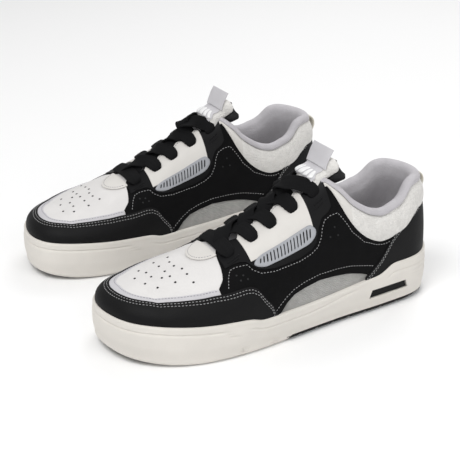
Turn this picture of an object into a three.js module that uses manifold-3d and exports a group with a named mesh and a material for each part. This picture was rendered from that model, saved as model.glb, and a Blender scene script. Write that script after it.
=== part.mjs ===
// A pair of low court sneakers, modelled in millimetres, +Z up, toes towards -Y.
// The left shoe stands at +X; the right shoe is its mirror image at -X.
// Inside a shoe, points are [forward, side, up]: forward from the heel, side towards the
// little toe, up from the floor. u runs round the sole from the heel centre by the outer
// side to the toe (0.5) and back by the inner side; t climbs the upper from the sole (0)
// to the instep ridge (1).
import * as THREE from "three";
import Module from "manifold-3d";

const kernel = await Module();
kernel.setup();
const { Manifold, Mesh: SolidMesh } = kernel;

// overall sizes
const soleLength = 300;
const soleWidth = 115;
const pairPitch = 174;
const upperRise = 1;
const toeSpring = 6;

// walls and clearances
const panelThickness = 1.8;
const seam = 0.5;
const layerGap = 0.8;
const fitGap = 0.35;
const baseGap = 0.4;
const stiffenerThickness = 0.8;
const liningThickness = 1.2;

// sole unit
const outsoleThickness = 4;
const outsoleFront = 160;
const outsoleTuck = 8;
const lugPitch = 17;
const lugGrooveWidth = 4;
const lugGrooveDepth = 1.8;
const rimWidth = 7.6;
const ledge = 1.9;
const boardThickness = 2;
const socklinerThickness = 4.5;
const shankLength = 110;
const shankWidth = 18;
const shankThickness = 1.8;
const windowLength = 42;
const windowHeight = 6.8;
const windowDepth = 4;
const windowRecess = 1.2;
const windowHeel = 36;
const windowBottom = 13.8;

// uppers
const badgeRise = 1;
const collarBulge = 1.4;
const collarThickness = 5.2;
const collarLiningThickness = 3.4;
const loopWidth = 12;
const loopThickness = 1.6;
const loopReach = 8;

// tongue
const tongueThickness = 7.5;
const tongueWingGap = 3.7;
const tongueWing = panelThickness + tongueWingGap;
const tabGap = 1.2;
const tongueLiningThickness = 1.4;
const tabWidth = 26;
const tabThickness = 1.4;
const tabReach = 6;
const labelWidth = 20;
const labelLength = 8;
const labelThickness = 1;

// laces
const laceWidth = 11;
const laceThickness = 1.6;
const laceNeck = 5;
const laceNeckThickness = 2;
const laceHole = 8;
const laceLift = 1.5;
const laceUnderGap = 1.9;
const laceUnder = -panelThickness - laceUnderGap;

// plan of the sole, as shares of its length and width
const plan = [
  [0, 0], [0.02, 0.19], [0.08, 0.313], [0.2, 0.365], [0.35, 0.4], [0.5, 0.452], [0.65, 0.504],
  [0.783, 0.496], [0.893, 0.4], [0.97, 0.217], [1, -0.052], [0.977, -0.27], [0.9, -0.4],
  [0.783, -0.452], [0.65, -0.426], [0.5, -0.365], [0.35, -0.33], [0.2, -0.322], [0.08, -0.287],
  [0.02, -0.183],
];
// height of the sole's top edge, of the instep ridge, of the foot bed and the ridge's line in plan
const featherLine = [
  [0, 42], [0.067, 39.5], [0.127, 39], [0.173, 38.5], [0.2, 34.5], [0.22, 32], [0.267, 30.5],
  [0.35, 28], [0.43, 26.3], [0.5, 25.8], [0.567, 26], [0.62, 26.5], [0.653, 29.5], [0.7, 31],
  [0.8, 33], [0.893, 35], [0.967, 36], [1, 36.5],
];
const ridgeLine = [
  [0.133, 150], [0.233, 142], [0.317, 130], [0.4, 112], [0.483, 99], [0.567, 86], [0.65, 75],
  [0.733, 66], [0.817, 59], [0.873, 54], [0.917, 50],
];
const bedLine = [[0, 23], [0.2, 22], [0.5, 17], [0.7, 15], [0.87, 17], [1, 21]];
const ridgePlan = [[0, 0], [0.2, 0.009], [0.4, 0.009], [0.6, -0.009], [0.8, -0.026], [1, -0.052]];
const roundness = [[0.17, 2.1], [0.4, 2.05], [0.6, 2.1], [0.89, 2.25]];
const ridgeStart = 0.173;
const ridgeEnd = 0.887;

// seam lines of the upper: [s, t], s being u counted from the heel on either side
const mudguardTop = [
  [0.272, 0.0], [0.279, 0.11], [0.286, 0.2], [0.291, 0.287], [0.297, 0.328], [0.304, 0.345],
  [0.318, 0.353], [0.325, 0.362], [0.335, 0.384], [0.351, 0.404], [0.372, 0.45], [0.389, 0.5],
  [0.409, 0.545], [0.45, 0.565], [0.5, 0.57],
];
const trimTop = [
  [0.329, 0.445], [0.336, 0.467], [0.349, 0.484], [0.369, 0.532], [0.385, 0.586],
  [0.403, 0.645], [0.439, 0.68], [0.464, 0.7], [0.5, 0.73],
];
const vampBack = [[0.31, 0.9], [0.314, 0.83], [0.316, 0.72], [0.318, 0.625], [0.321, 0.535], [0.329, 0.445]];
const throatEdge = [[0.205, 0.8], [0.228, 0.82], [0.24, 0.85], [0.26, 0.875], [0.288, 0.885], [0.31, 0.89]];
const badgeTop = [[0.224, 0.53], [0.239, 0.545], [0.26, 0.56], [0.288, 0.555]];
const badgeBottom = [[0.224, 0.457], [0.234, 0.412], [0.25, 0.415], [0.269, 0.433], [0.278, 0.447], [0.288, 0.51]];
const meshTop = [
  [0.173, 0.028], [0.191, 0.071], [0.208, 0.102], [0.226, 0.129], [0.242, 0.124], [0.254, 0.109],
  [0.26, 0.08], [0.268, 0.015],
];
const patchTop = [[0, 0.245], [0.09, 0.25], [0.105, 0.245], [0.122, 0.207], [0.138, 0.148], [0.151, 0.095],
  [0.163, 0.05], [0.173, 0.015]];
const collarLow = [[0, 0.245], [0.09, 0.25], [0.105, 0.245], [0.122, 0.207], [0.138, 0.155], [0.151, 0.172],
  [0.163, 0.2], [0.174, 0.246], [0.184, 0.321], [0.193, 0.44], [0.199, 0.583], [0.204, 0.745]];
const topline = [[0, 0.385], [0.04, 0.388], [0.07, 0.395], [0.09, 0.398], [0.107, 0.385], [0.116, 0.358],
  [0.123, 0.328], [0.133, 0.298], [0.144, 0.29], [0.157, 0.306], [0.17, 0.348], [0.18, 0.411],
  [0.187, 0.476], [0.193, 0.569], [0.199, 0.67], [0.204, 0.775]];

// columns in which every panel of the upper is drawn
const columns = [
  0, 0.04, 0.08, 0.105, 0.122, 0.138, 0.151, 0.163, 0.173, 0.187, 0.193, 0.199, 0.204, 0.2165,
  0.224, 0.24, 0.26, 0.268, 0.272, 0.278, 0.288, 0.291, 0.304, 0.31, 0.321, 0.329, 0.351, 0.385, 0.403, 0.42,
  0.44, 0.46, 0.48, 0.5,
];
const laceRows = [0.304, 0.279, 0.26, 0.2385, 0.2165];
const laceHoleLine = 0.735;

function clamp(x, low, high) {
  return Math.min(high, Math.max(low, x));
}

// smooth curve through points [x, y]
function curve(points, x) {
  const last = points.length - 1;
  const at = clamp(x, points[0][0], points[last][0]);
  let i = 0;
  while (i < last - 1 && at > points[i + 1][0]) i += 1;
  const slope = (k) => {
    const a = points[Math.max(0, k - 1)];
    const b = points[Math.min(last, k + 1)];
    return (b[1] - a[1]) / (b[0] - a[0]);
  };
  const [x0, y0] = points[i];
  const [x1, y1] = points[i + 1];
  const h = x1 - x0;
  const w = (at - x0) / h;
  const w2 = w * w;
  const w3 = w2 * w;
  return y0 * (2 * w3 - 3 * w2 + 1) + h * slope(i) * (w3 - 2 * w2 + w)
    + y1 * (3 * w2 - 2 * w3) + h * slope(i + 1) * (w3 - w2);
}

// straight-lined curve through points [x, y]
function line(points, x) {
  const last = points.length - 1;
  const at = clamp(x, points[0][0], points[last][0]);
  let i = 0;
  while (i < last - 1 && at > points[i + 1][0]) i += 1;
  const [x0, y0] = points[i];
  const [x1, y1] = points[i + 1];
  return y0 + (y1 - y0) * (at - x0) / (x1 - x0);
}

function planPoint(u) {
  const n = plan.length;
  const s = (((u % 1) + 1) % 1) * n;
  const i = Math.floor(s) % n;
  const w = s - Math.floor(s);
  const [a, b, c, d] = [plan[(i + n - 1) % n], plan[i], plan[(i + 1) % n], plan[(i + 2) % n]];
  return [0, 1].map((k) => {
    const value = 0.5 * (2 * b[k] + (c[k] - a[k]) * w
      + (2 * a[k] - 5 * b[k] + 4 * c[k] - d[k]) * w * w
      + (3 * b[k] - a[k] - 3 * c[k] + d[k]) * w * w * w);
    return value * (k === 0 ? soleLength : soleWidth);
  });
}

// point of the sole's outline, moved inwards
function outline(u, inset) {
  const e = 0.001;
  const [f, l] = planPoint(u);
  const a = planPoint(u - e);
  const b = planPoint(u + e);
  const df = b[0] - a[0];
  const dl = b[1] - a[1];
  const size = Math.hypot(df, dl);
  return [f + inset * dl / size, l - inset * df / size];
}

function share(f) {
  return f / soleLength;
}

function floorAt(f) {
  const x = clamp((share(f) - 0.783) / 0.217, 0, 1.02);
  return toeSpring * x * x;
}

function featherAt(f) {
  return curve(featherLine, share(f));
}

function bedAt(f) {
  return curve(bedLine, share(f));
}

function ridgeForward(u) {
  const s = Math.min(u, 1 - u);
  return clamp(planPoint(s)[0], ridgeStart * soleLength, ridgeEnd * soleLength);
}

function ridgeHeight(f) {
  const low = featherAt(f);
  return low + (curve(ridgeLine, share(f)) - low) * upperRise;
}

function bare(u, t) {
  const [f, l] = outline(u, panelThickness + ledge - 0.2);
  const rf = ridgeForward(u);
  const rl = curve(ridgePlan, share(rf)) * soleWidth;
  const low = featherAt(f);
  const n = curve(roundness, share(rf));
  const a = clamp(t, 0, 1) * Math.PI / 2;
  const h = 1 - Math.max(0, Math.cos(a)) ** (2 / n);
  const v = Math.sin(a) ** (2 / n);
  return new THREE.Vector3(f + (rf - f) * h, l + (rl - l) * h, low + (ridgeHeight(rf) - low) * v);
}

function skinNormal(u, t) {
  if (t > 0.995) {
    const f = ridgeForward(u);
    const rise = (ridgeHeight(f + 2) - ridgeHeight(f - 2)) / 4;
    return new THREE.Vector3(-rise, 0, 1).normalize();
  }
  const e = 0.002;
  const across = bare(u + e, t).sub(bare(u - e, t));
  const up = bare(u, Math.min(1, t + e)).sub(bare(u, Math.max(0, t - e)));
  return up.cross(across).normalize();
}

// point of the upper, off millimetres outside its outer face
function skin(u, t, off = 0) {
  return bare(u, t).addScaledVector(skinNormal(u, t), off);
}

// share of t that a length along the wall takes up
function climb(u, t, length) {
  const e = 0.01;
  const a = bare(u, clamp(t - e, 0, 1));
  const b = bare(u, clamp(t + e, 0, 1));
  return length * (clamp(t + e, 0, 1) - clamp(t - e, 0, 1)) / a.distanceTo(b);
}

// closed body from corner points and triangles, equal corners joined
function solid(points, faces) {
  const keys = new Map();
  const merged = [];
  const index = points.map((p) => {
    const key = [p.x, p.y, p.z].map((v) => Math.round(v * 2000)).join(",");
    if (!keys.has(key)) {
      keys.set(key, merged.length);
      merged.push(p);
    }
    return keys.get(key);
  });
  const kept = [];
  for (const face of faces) {
    const [a, b, c] = face.map((k) => index[k]);
    if (a !== b && b !== c && c !== a) kept.push([a, b, c]);
  }
  return { points: merged, faces: kept };
}

// shell between two equal grids of points, outer and inner; zipped tells which top edges meet
function shell(outer, inner, zipped = () => false) {
  const n = outer.length;
  const m = outer[0].length;
  const points = [...outer.flat(), ...inner.flat()];
  const o = (i, j) => i * m + j;
  const k = (i, j) => n * m + i * m + j;
  const faces = [];
  const quad = (a, b, c, d) => faces.push([a, b, c], [a, c, d]);
  for (let i = 0; i < n - 1; i += 1) {
    for (let j = 0; j < m - 1; j += 1) {
      quad(o(i, j), o(i, j + 1), o(i + 1, j + 1), o(i + 1, j));
      quad(k(i, j), k(i + 1, j), k(i + 1, j + 1), k(i, j + 1));
    }
    quad(o(i, 0), o(i + 1, 0), k(i + 1, 0), k(i, 0));
    if (!zipped(i)) quad(o(i, m - 1), k(i, m - 1), k(i + 1, m - 1), o(i + 1, m - 1));
  }
  for (let j = 0; j < m - 1; j += 1) {
    quad(o(0, j), k(0, j), k(0, j + 1), o(0, j + 1));
    quad(o(n - 1, j), o(n - 1, j + 1), k(n - 1, j + 1), k(n - 1, j));
  }
  return solid(points, faces);
}

// tube through equal closed sections, flat ends
function loft(sections) {
  const n = sections.length;
  const m = sections[0].length;
  const points = sections.flat();
  const faces = [];
  for (let i = 0; i < n - 1; i += 1) {
    for (let j = 0; j < m; j += 1) {
      const q = (j + 1) % m;
      faces.push([i * m + j, i * m + q, (i + 1) * m + q], [i * m + j, (i + 1) * m + q, (i + 1) * m + j]);
    }
  }
  const start = sections[0].map((p) => new THREE.Vector2(...flatten(sections[0], p)));
  const end = sections[n - 1].map((p) => new THREE.Vector2(...flatten(sections[n - 1], p)));
  for (const [a, b, c] of capFaces(start)) faces.push([c, b, a]);
  for (const [a, b, c] of capFaces(end)) faces.push([a, b, c].map((v) => v + (n - 1) * m));
  return turnedOut(solid(points, faces));
}

// a section's own plane coordinates
function flatten(section, p) {
  const normal = new THREE.Vector3();
  section.forEach((a, i) => normal.add(a.clone().sub(section[0]).cross(section[(i + 1) % section.length]
    .clone().sub(section[0]))));
  normal.normalize();
  const x = section[1].clone().sub(section[0]).normalize();
  x.addScaledVector(normal, -x.dot(normal)).normalize();
  const y = normal.clone().cross(x);
  const d = p.clone().sub(section[0]);
  return [d.dot(x), d.dot(y)];
}

function capFaces(contour) {
  return THREE.ShapeUtils.triangulateShape(contour, []);
}

function volumeOf(body) {
  let sum = 0;
  for (const [a, b, c] of body.faces) {
    sum += body.points[a].dot(body.points[b].clone().cross(body.points[c]));
  }
  return sum / 6;
}

function turnedOut(body) {
  if (volumeOf(body) > 0) return body;
  return { points: body.points, faces: body.faces.map(([a, b, c]) => [a, c, b]) };
}

// stack of rings round the sole, the ends closed by bands from side to side
function rings(list, us = soleColumns(1)) {
  const count = us.length;
  const points = [];
  for (const ring of list) {
    for (const u of us) {
      const [f, l] = outline(u, typeof ring.inset === "function" ? ring.inset(u) : ring.inset);
      points.push(new THREE.Vector3(f, l, ring.height(f)));
    }
  }
  const faces = [];
  for (let r = 0; r < list.length - 1; r += 1) {
    for (let i = 0; i < count; i += 1) {
      const q = (i + 1) % count;
      const a = r * count;
      const b = a + count;
      faces.push([a + i, a + q, b + q], [a + i, b + q, b + i]);
    }
  }
  const top = (list.length - 1) * count;
  for (let i = 0; i < count / 2; i += 1) {
    const a = i;
    const b = i + 1;
    const c = (count - i - 1) % count;
    const d = (count - i) % count;
    for (const [p, q, r] of [[a, b, c], [a, c, d]]) {
      if (p !== q && q !== r && r !== p) {
        faces.push([p, r, q]);
        faces.push([top + p, top + q, top + r]);
      }
    }
  }
  return turnedOut(solid(points, faces));
}

// columns all round the sole, every one or every few
function soleColumns(every) {
  const half = columns.filter((s, i) => s < 0.4999 && i % every === 0);
  return [...half, 0.5, ...half.slice(1).reverse().map((s) => 1 - s)];
}

function toManifold(body) {
  const vertProperties = new Float32Array(body.points.flatMap((p) => [p.x, p.y, p.z]));
  const triVerts = new Uint32Array(body.faces.flat());
  return new Manifold(new SolidMesh({ numProp: 3, vertProperties, triVerts }));
}

function fromManifold(shape) {
  const mesh = shape.getMesh();
  const points = [];
  for (let i = 0; i < mesh.numVert; i += 1) {
    points.push(new THREE.Vector3(...mesh.vertProperties.slice(i * mesh.numProp, i * mesh.numProp + 3)));
  }
  const faces = [];
  for (let i = 0; i < mesh.numTri; i += 1) faces.push([...mesh.triVerts.slice(i * 3, i * 3 + 3)]);
  return { points, faces };
}

function without(body, tools) {
  let shape = toManifold(body);
  for (const tool of tools) shape = shape.subtract(toManifold(tool));
  return fromManifold(shape);
}

function common(body, tool) {
  return fromManifold(toManifold(body).intersect(toManifold(tool)));
}

function box(f0, f1, l0, l1, z0, z1) {
  const section = (f) => [[l0, z0], [l1, z0], [l1, z1], [l0, z1]].map(([l, z]) => new THREE.Vector3(f, l, z));
  return loft([section(f0), section(f1)]);
}

function span(from, to) {
  return columns.filter((s) => s > from - 1e-6 && s < to + 1e-6);
}

// columns of u on one side, heel first, or round the toe or the heel
function sideColumns(from, to, side) {
  const list = span(from, to);
  return side > 0 ? list : list.map((s) => 1 - s).reverse();
}

function toeColumns(from) {
  const list = span(from, 0.5);
  return [...list, ...list.slice(0, -1).reverse().map((s) => 1 - s)];
}

function heelColumns(to) {
  const list = span(0, to);
  return [...list.slice(1).reverse().map((s) => -s), ...list];
}

function station(u) {
  const w = ((u % 1) + 1) % 1;
  return Math.min(w, 1 - w);
}

function around(u) {
  return ((u % 1) + 1) % 1;
}

// piece of the upper between two seam lines
function panel({ us, low, high, rows = 4, outer = () => 0, inner = -panelThickness, clear = seam / 2 }) {
  const ends = us.map((u) => {
    const s = station(u);
    const w = around(u);
    const t0 = low(s);
    const t1 = high(s);
    const closed = t1 > 0.999;
    const a = t0 + climb(w, t0, t0 < 1e-6 ? baseGap : clear);
    const b = closed ? 1 : Math.max(t1 - climb(w, t1, clear), a + climb(w, a, 0.4));
    return [w, a, b, closed];
  });
  const grid = (off) => ends.map(([w, a, b]) => {
    const list = [];
    for (let j = 0; j <= rows; j += 1) {
      const v = j / rows;
      const t = a + (b - a) * v;
      list.push(skin(w, t > 0.999 ? 1 : t, off(v, w)));
    }
    return list;
  });
  return turnedOut(shell(grid(outer), grid(() => inner), (i) => ends[i][3] && ends[i + 1][3]));
}

// hole through the upper, square to its face
function laceHoleTool(u, diameter) {
  const centre = skin(u, laceHoleLine);
  const n = skinNormal(u, laceHoleLine);
  const x = new THREE.Vector3(1, 0, 0).addScaledVector(n, -n.x).normalize();
  const y = n.clone().cross(x);
  const section = (off) => Array.from({ length: 12 }, (unused, i) => {
    const a = i * Math.PI / 6;
    return centre.clone().addScaledVector(n, off).addScaledVector(x, Math.cos(a) * diameter / 2)
      .addScaledVector(y, Math.sin(a) * diameter / 2);
  });
  return loft([section(-panelThickness - 2), section(3)]);
}

function cupProfile() {
  return [
    { inset: 4.5, height: (f) => floorAt(f) },
    { inset: 1.4, height: (f) => floorAt(f) + 3.4 },
    { inset: 0.3, height: (f) => floorAt(f) * 0.6 + 10 },
    { inset: 0, height: (f) => featherAt(f) * 0.35 + 10 },
    { inset: 0.7, height: (f) => featherAt(f) - 2.4 },
    { inset: ledge, height: featherAt },
    { inset: ledge + rimWidth, height: featherAt },
    { inset: ledge + rimWidth + 0.4, height: bedAt },
  ];
}

function outsoleEdge(clear) {
  const front = share(outsoleFront);
  return (u) => (share(planPoint(u)[0]) < front ? -5 : outsoleTuck) - clear;
}

function outsoleTool(clear) {
  return rings([
    { inset: outsoleEdge(clear), height: () => -12 },
    { inset: outsoleEdge(clear), height: (f) => floorAt(f) + outsoleThickness + clear },
  ]);
}

function makeOutsole(cup) {
  const grooves = [];
  const count = Math.floor(soleLength * 0.78 / lugPitch);
  for (let i = 1; i <= count; i += 1) {
    const f = soleLength * 0.03 + i * lugPitch;
    grooves.push(box(f, f + lugGrooveWidth, -soleWidth, soleWidth, -5, lugGrooveDepth + floorAt(f)));
  }
  return without(common(cup, outsoleTool(0)), grooves);
}

// slanted bar that follows the sole's side wall
function windowBar(side, shrink, deep, proud) {
  const sections = [];
  for (let i = 0; i <= 5; i += 1) {
    const section = [];
    for (const [z, lean, inset] of [[0, 0, deep], [0, 0, proud], [windowHeight, 3, proud], [windowHeight, 3, deep]]) {
      const up = z === 0 ? shrink : -shrink;
      const from = windowHeel + lean + shrink;
      const to = windowHeel + windowLength - lean - shrink;
      const f = from + (to - from) * i / 5;
      const [pf, pl] = outline(wallColumn(f, side), inset);
      section.push(new THREE.Vector3(pf, pl, windowBottom + z + up));
    }
    sections.push(section);
  }
  return loft(sections);
}

// u at which the sole's side is f forward
function wallColumn(f, side) {
  let a = 0;
  let b = 0.45;
  for (let i = 0; i < 30; i += 1) {
    const m = (a + b) / 2;
    if (planPoint(side > 0 ? m : 1 - m)[0] < f) a = m;
    else b = m;
  }
  return side > 0 ? a : 1 - a;
}

// flat bar let into the bed; with clearance it is the pocket, open at the top
function shankBar(clear) {
  const middle = soleLength * 0.43;
  const half = shankLength / 2 + clear;
  const sections = [];
  for (let i = 0; i <= 6; i += 1) {
    const f = middle - half + 2 * half * i / 6;
    const top = bedAt(f) - 0.5;
    const low = top - shankThickness - clear;
    const side = shankWidth / 2 + clear;
    const high = top + (clear > 0 ? 12 : 0);
    sections.push([[-side, low], [side, low], [side, high], [-side, high]]
      .map(([l, z]) => new THREE.Vector3(f, l, z)));
  }
  return loft(sections);
}

function makeMidsole(cup) {
  return without(cup, [
    outsoleTool(fitGap),
    windowBar(1, 0, windowDepth, -6),
    windowBar(-1, 0, windowDepth, -6),
    shankBar(fitGap),
  ]);
}

function makeBoard() {
  const inset = ledge + rimWidth + 0.4 + fitGap;
  return rings([
    { inset, height: (f) => bedAt(f) + fitGap },
    { inset, height: (f) => bedAt(f) + fitGap + boardThickness },
  ], soleColumns(2));
}

function makeSockliner() {
  const inset = ledge + rimWidth + 0.4 + fitGap + 0.4;
  const low = (f) => bedAt(f) + 2 * fitGap + boardThickness;
  return rings([
    { inset, height: low },
    { inset, height: (f) => low(f) + socklinerThickness * 0.6 },
    { inset: inset + 2, height: (f) => low(f) + socklinerThickness },
  ], soleColumns(2));
}

const stiffenerFace = -panelThickness - layerGap;
const liningFace = stiffenerFace - stiffenerThickness - layerGap;

function makeVampLining() {
  return panel({
    us: toeColumns(0.2165),
    low: () => 0,
    high: (s) => (s < 0.3 ? 0.5 : s < 0.325 ? 0.6 : 1),
    rows: 5,
    outer: () => liningFace,
    inner: liningFace - liningThickness,
  });
}

function makeToePuff() {
  return panel({
    us: toeColumns(0.385),
    low: () => 0,
    high: () => 0.4,
    rows: 2,
    outer: () => stiffenerFace,
    inner: stiffenerFace - stiffenerThickness,
  });
}

function makeHeelCounter() {
  return panel({
    us: heelColumns(0.165),
    low: () => 0,
    high: () => 0.12,
    rows: 1,
    outer: () => stiffenerFace,
    inner: stiffenerFace - stiffenerThickness,
  });
}

function makeVamp() {
  return panel({
    us: toeColumns(0.31),
    low: (s) => (s < 0.329 ? line(vampBack, s) : line(trimTop, s)),
    high: () => 1,
    rows: 4,
  });
}

function makeToeTrim() {
  return panel({
    us: toeColumns(0.329).map((u) => nudge(u, 0.329, 1, 0.0025)),
    low: (s) => line(mudguardTop, s),
    high: (s) => line(trimTop, s),
    rows: 1,
  });
}

function makeMudguard() {
  return panel({
    us: toeColumns(0.272).map((u) => nudge(u, 0.272, 1, 0.001)),
    low: () => 0,
    high: (s) => line(mudguardTop, s),
    rows: 3,
  });
}

function quarterLow(s) {
  if (s < 0.1725) return line(patchTop, s);
  if (s < 0.2715) return s < 0.2685 ? line(meshTop, s) : 0;
  return line(mudguardTop, s);
}

function quarterHigh(s) {
  if (s < 0.2045) return line(collarLow, s);
  if (s < 0.2175) return line(throatEdge, s);
  if (s < 0.2885) return line(badgeBottom, s);
  if (s < 0.3101) return line(throatEdge, s);
  return line(vampBack, s);
}

function makeQuarter(side) {
  const body = panel({ us: sideColumns(0.138, 0.329, side), low: quarterLow, high: quarterHigh, rows: 4 });
  return without(body, [laceRows[0], laceRows[4]]
    .map((s) => laceHoleTool(side > 0 ? s : 1 - s, laceHole)));
}

function makeEyestay(side) {
  const body = panel({
    us: sideColumns(0.224, 0.288, side).map((u) => nudge(u, 0.224, 0.288, 0.0012)),
    low: (s) => line(badgeTop, s),
    high: (s) => line(throatEdge, s),
    rows: 3,
  });
  return without(body, laceRows.slice(1, 4).map((s) => laceHoleTool(side > 0 ? s : 1 - s, laceHole)));
}

// moves a panel's two end columns inwards
function nudge(u, from, to, by) {
  const s = station(u);
  const sign = u <= 0.5 ? 1 : -1;
  if (Math.abs(s - from) < 1e-6) return u + sign * by;
  if (Math.abs(s - to) < 1e-6) return u - sign * by;
  return u;
}

function makeBadge(side) {
  return panel({
    us: sideColumns(0.224, 0.288, side).map((u) => nudge(u, 0.224, 0.288, 0.0012)),
    low: (s) => line(badgeBottom, s),
    high: (s) => line(badgeTop, s),
    rows: 2,
    outer: () => badgeRise,
  });
}

function makeMeshPanel(side) {
  return panel({
    us: sideColumns(0.173, 0.268, side).map((u) => nudge(u, 0.173, 0.268, 0.001)),
    low: () => 0,
    high: (s) => line(meshTop, s),
    rows: 2,
  });
}

function makeHeelPatch() {
  return panel({ us: heelColumns(0.173), low: () => 0, high: (s) => line(patchTop, s), rows: 2 });
}

// body swept round the heel from a section of [t, off] corners at each column
function heelSweep(to, section) {
  const us = heelColumns(to);
  return loft(us.map((u) => section(station(u), around(u)).map(([t, off]) => skin(around(u), t, off))));
}

// padding of the collar: full round the ankle, thin at the front corner
function padding(s) {
  return line([[0, 1], [0.163, 1], [0.187, 0.6], [0.204, 0.4]], s);
}

function makeCollar() {
  return heelSweep(0.199, (s, u) => {
    const low = line(collarLow, s) + climb(u, 0.3, seam / 2);
    const high = Math.max(line(topline, s), low + 0.03);
    const at = (v) => low + (high - low) * v;
    return [
      [low, 0], [at(0.35), collarBulge], [at(0.7), collarBulge], [high, 0.3],
      [high, -collarThickness * padding(s)], [at(0.5), -collarThickness * padding(s)],
      [low, -panelThickness],
    ];
  });
}

function makeCollarLining() {
  return heelSweep(0.199, (s, u) => {
    const seat = line(collarLow, s);
    const high = line(topline, s);
    const lip = high + climb(u, 0.4, seam);
    const crest = lip + climb(u, 0.4, 5 * padding(s));
    const back = -collarThickness * padding(s) - layerGap;
    const seated = Math.min(back, liningFace) - 0.2;
    const inner = Math.min(back - collarLiningThickness * padding(s), seated - 1);
    const foot = liningFace - liningThickness;
    return [
      [climb(u, 0, baseGap), liningFace],
      [Math.min(0.12, seat * 0.6), liningFace],
      [seat * 0.8, seated],
      [seat + (high - seat) * 0.5, back],
      [lip, back],
      [lip, 0.2],
      [lip + (crest - lip) * 0.7, -0.6],
      [crest, back * 0.55],
      [lip + (crest - lip) * 0.5, inner + 0.6],
      [seat + (high - seat) * 0.5, inner],
      [Math.min(0.12, seat * 0.6), Math.min(inner + 1.4, foot)],
      [climb(u, 0, baseGap), foot],
    ];
  });
}

function makeHeelLoop() {
  const path = [[0.372, 1.4], [0.356, 4.4], [0.33, loopReach], [0.3, loopReach], [0.272, 5.4], [0.258, 2.8]];
  const half = loopWidth / 2;
  const rows = path.map(([t, off]) => skin(0, t, off));
  const sections = rows.map((p, i) => {
    const along = rows[Math.min(i + 1, rows.length - 1)].clone().sub(rows[Math.max(i - 1, 0)]).normalize();
    const across = new THREE.Vector3(0, 1, 0);
    const n = along.clone().cross(across).normalize().multiplyScalar(loopThickness / 2);
    return [[-half, -1], [half, -1], [half, 1], [-half, 1]]
      .map(([l, k]) => p.clone().addScaledVector(across, l).addScaledVector(n, k));
  });
  return loft(sections);
}

// the tongue from its base up: [forward share, edge line t, rise of its middle]
const tonguePath = [[0.707, 0.86, -1.4], [0.65, 0.8, -1], [0.593, 0.72, -0.2], [0.533, 0.66, 0],
  [0.473, 0.62, 0], [0.427, 0.6, 0], [0.39, 0.6, 0.4], [0.37, 0.6, 1], [0.35, 0.6, 1]];
// its free top above the laces: [station, forward share, height, half width, fall of its edges]
const tongueTop = [[5.6, 0.4067, 108.5, 13, 11], [6, 0.3920, 112.4, 12.6, 12], [6.3, 0.3830, 116, 12, 14],
  [6.6, 0.3750, 119.6, 13.9, 16.5], [7.2, 0.3627, 125.4, 17.8, 18], [7.6, 0.3540, 129.6, 20.5, 18.5],
  [8, 0.3453, 133.9, 20.5, 16]];
const tongueSquareness = 3;
const tongueCorner = 15;
const tongueEnd = tonguePath.length - 1;

function tongueValue(k, v) {
  return curve(tonguePath.map((row, i) => [i, row[k]]), v);
}

function topValue(k, v) {
  return curve(tongueTop.map((row) => [row[0], row[k]]), v) * (k === 1 ? soleLength : 1);
}

// u on the outer side at which the ridge is f forward
function ridgeColumn(f) {
  let a = 0;
  let b = 0.45;
  for (let i = 0; i < 30; i += 1) {
    const m = (a + b) / 2;
    if (planPoint(m)[0] < f) a = m;
    else b = m;
  }
  return a;
}

// point under the laces, where the tongue follows the upper
function tongueBase(v, x, deep) {
  const size = Math.abs(x);
  const s = ridgeColumn(tongueValue(0, clamp(v, 0, tongueEnd)) * soleLength);
  const w = clamp((size - 0.03) / 0.27, 0, 1);
  const sunk = -1.2 - (tongueWing - 1.2) * w * w * (3 - 2 * w);
  const fall = clamp((size - 0.28) / 0.22, 0, 1);
  const off = sunk + tongueValue(2, clamp(v, 0, tongueEnd)) * (1 - fall * fall * (3 - 2 * fall));
  const t = 1 - size * (1 - tongueValue(1, v));
  return skin(x >= 0 ? s : 1 - s, t, off - deep);
}

// face of the free top, an arch across the shoe whose upper corners are rounded
function archFace(v, x) {
  const size = Math.abs(x);
  const over = Math.max(0, v - tongueEnd) * 14;
  const corner = Math.max(0, v - 6.6) / 1.4 * tongueCorner * Math.max(0, size - 0.35) ** 2;
  const at = Math.min(v, tongueEnd);
  const df = topValue(1, at + 0.1) - topValue(1, at - 0.3);
  const dz = topValue(2, at + 0.1) - topValue(2, at - 0.3);
  const run = Math.hypot(df, dz);
  const a = Math.min(1, size) * Math.PI / 2;
  const half = topValue(3, at) * Math.sin(a) ** (2 / tongueSquareness);
  const fall = topValue(4, at) * (1 - Math.max(0, Math.cos(a)) ** (2 / tongueSquareness));
  const centre = curve(ridgePlan, topValue(1, at) / soleLength) * soleWidth;
  return new THREE.Vector3(
    topValue(1, at) + (df * (over - corner) - dz * fall) / run,
    centre + Math.sign(x) * half,
    topValue(2, at) + (dz * (over - corner) + df * fall) / run,
  );
}

function tongueArch(v, x, deep) {
  const across = archFace(v, Math.min(1, x + 0.03)).sub(archFace(v, Math.max(-1, x - 0.03)));
  const up = archFace(v + 0.04, x).sub(archFace(v - 0.04, x));
  return archFace(v, x).addScaledVector(up.cross(across).normalize(), deep);
}

// point of the tongue, deep millimetres under its face; x runs from edge to edge
function tonguePoint(v, x, deep) {
  const w = clamp((v - 5.5) / 0.8, 0, 1);
  const share = w * w * (3 - 2 * w);
  if (share === 0) return tongueBase(v, x, deep);
  if (share === 1) return tongueArch(v, x, deep);
  return tongueBase(v, x, deep).lerp(tongueArch(v, x, deep), share);
}

const tongueStations = [0, 1, 2, 3, 4, 5, 5.6, 6, 6.3, 6.6, 7.2, 7.6, tongueEnd];

const tongueColumns = [-1, -0.8, -0.6, -0.45, -0.28, 0, 0.28, 0.45, 0.6, 0.8, 1];

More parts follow.
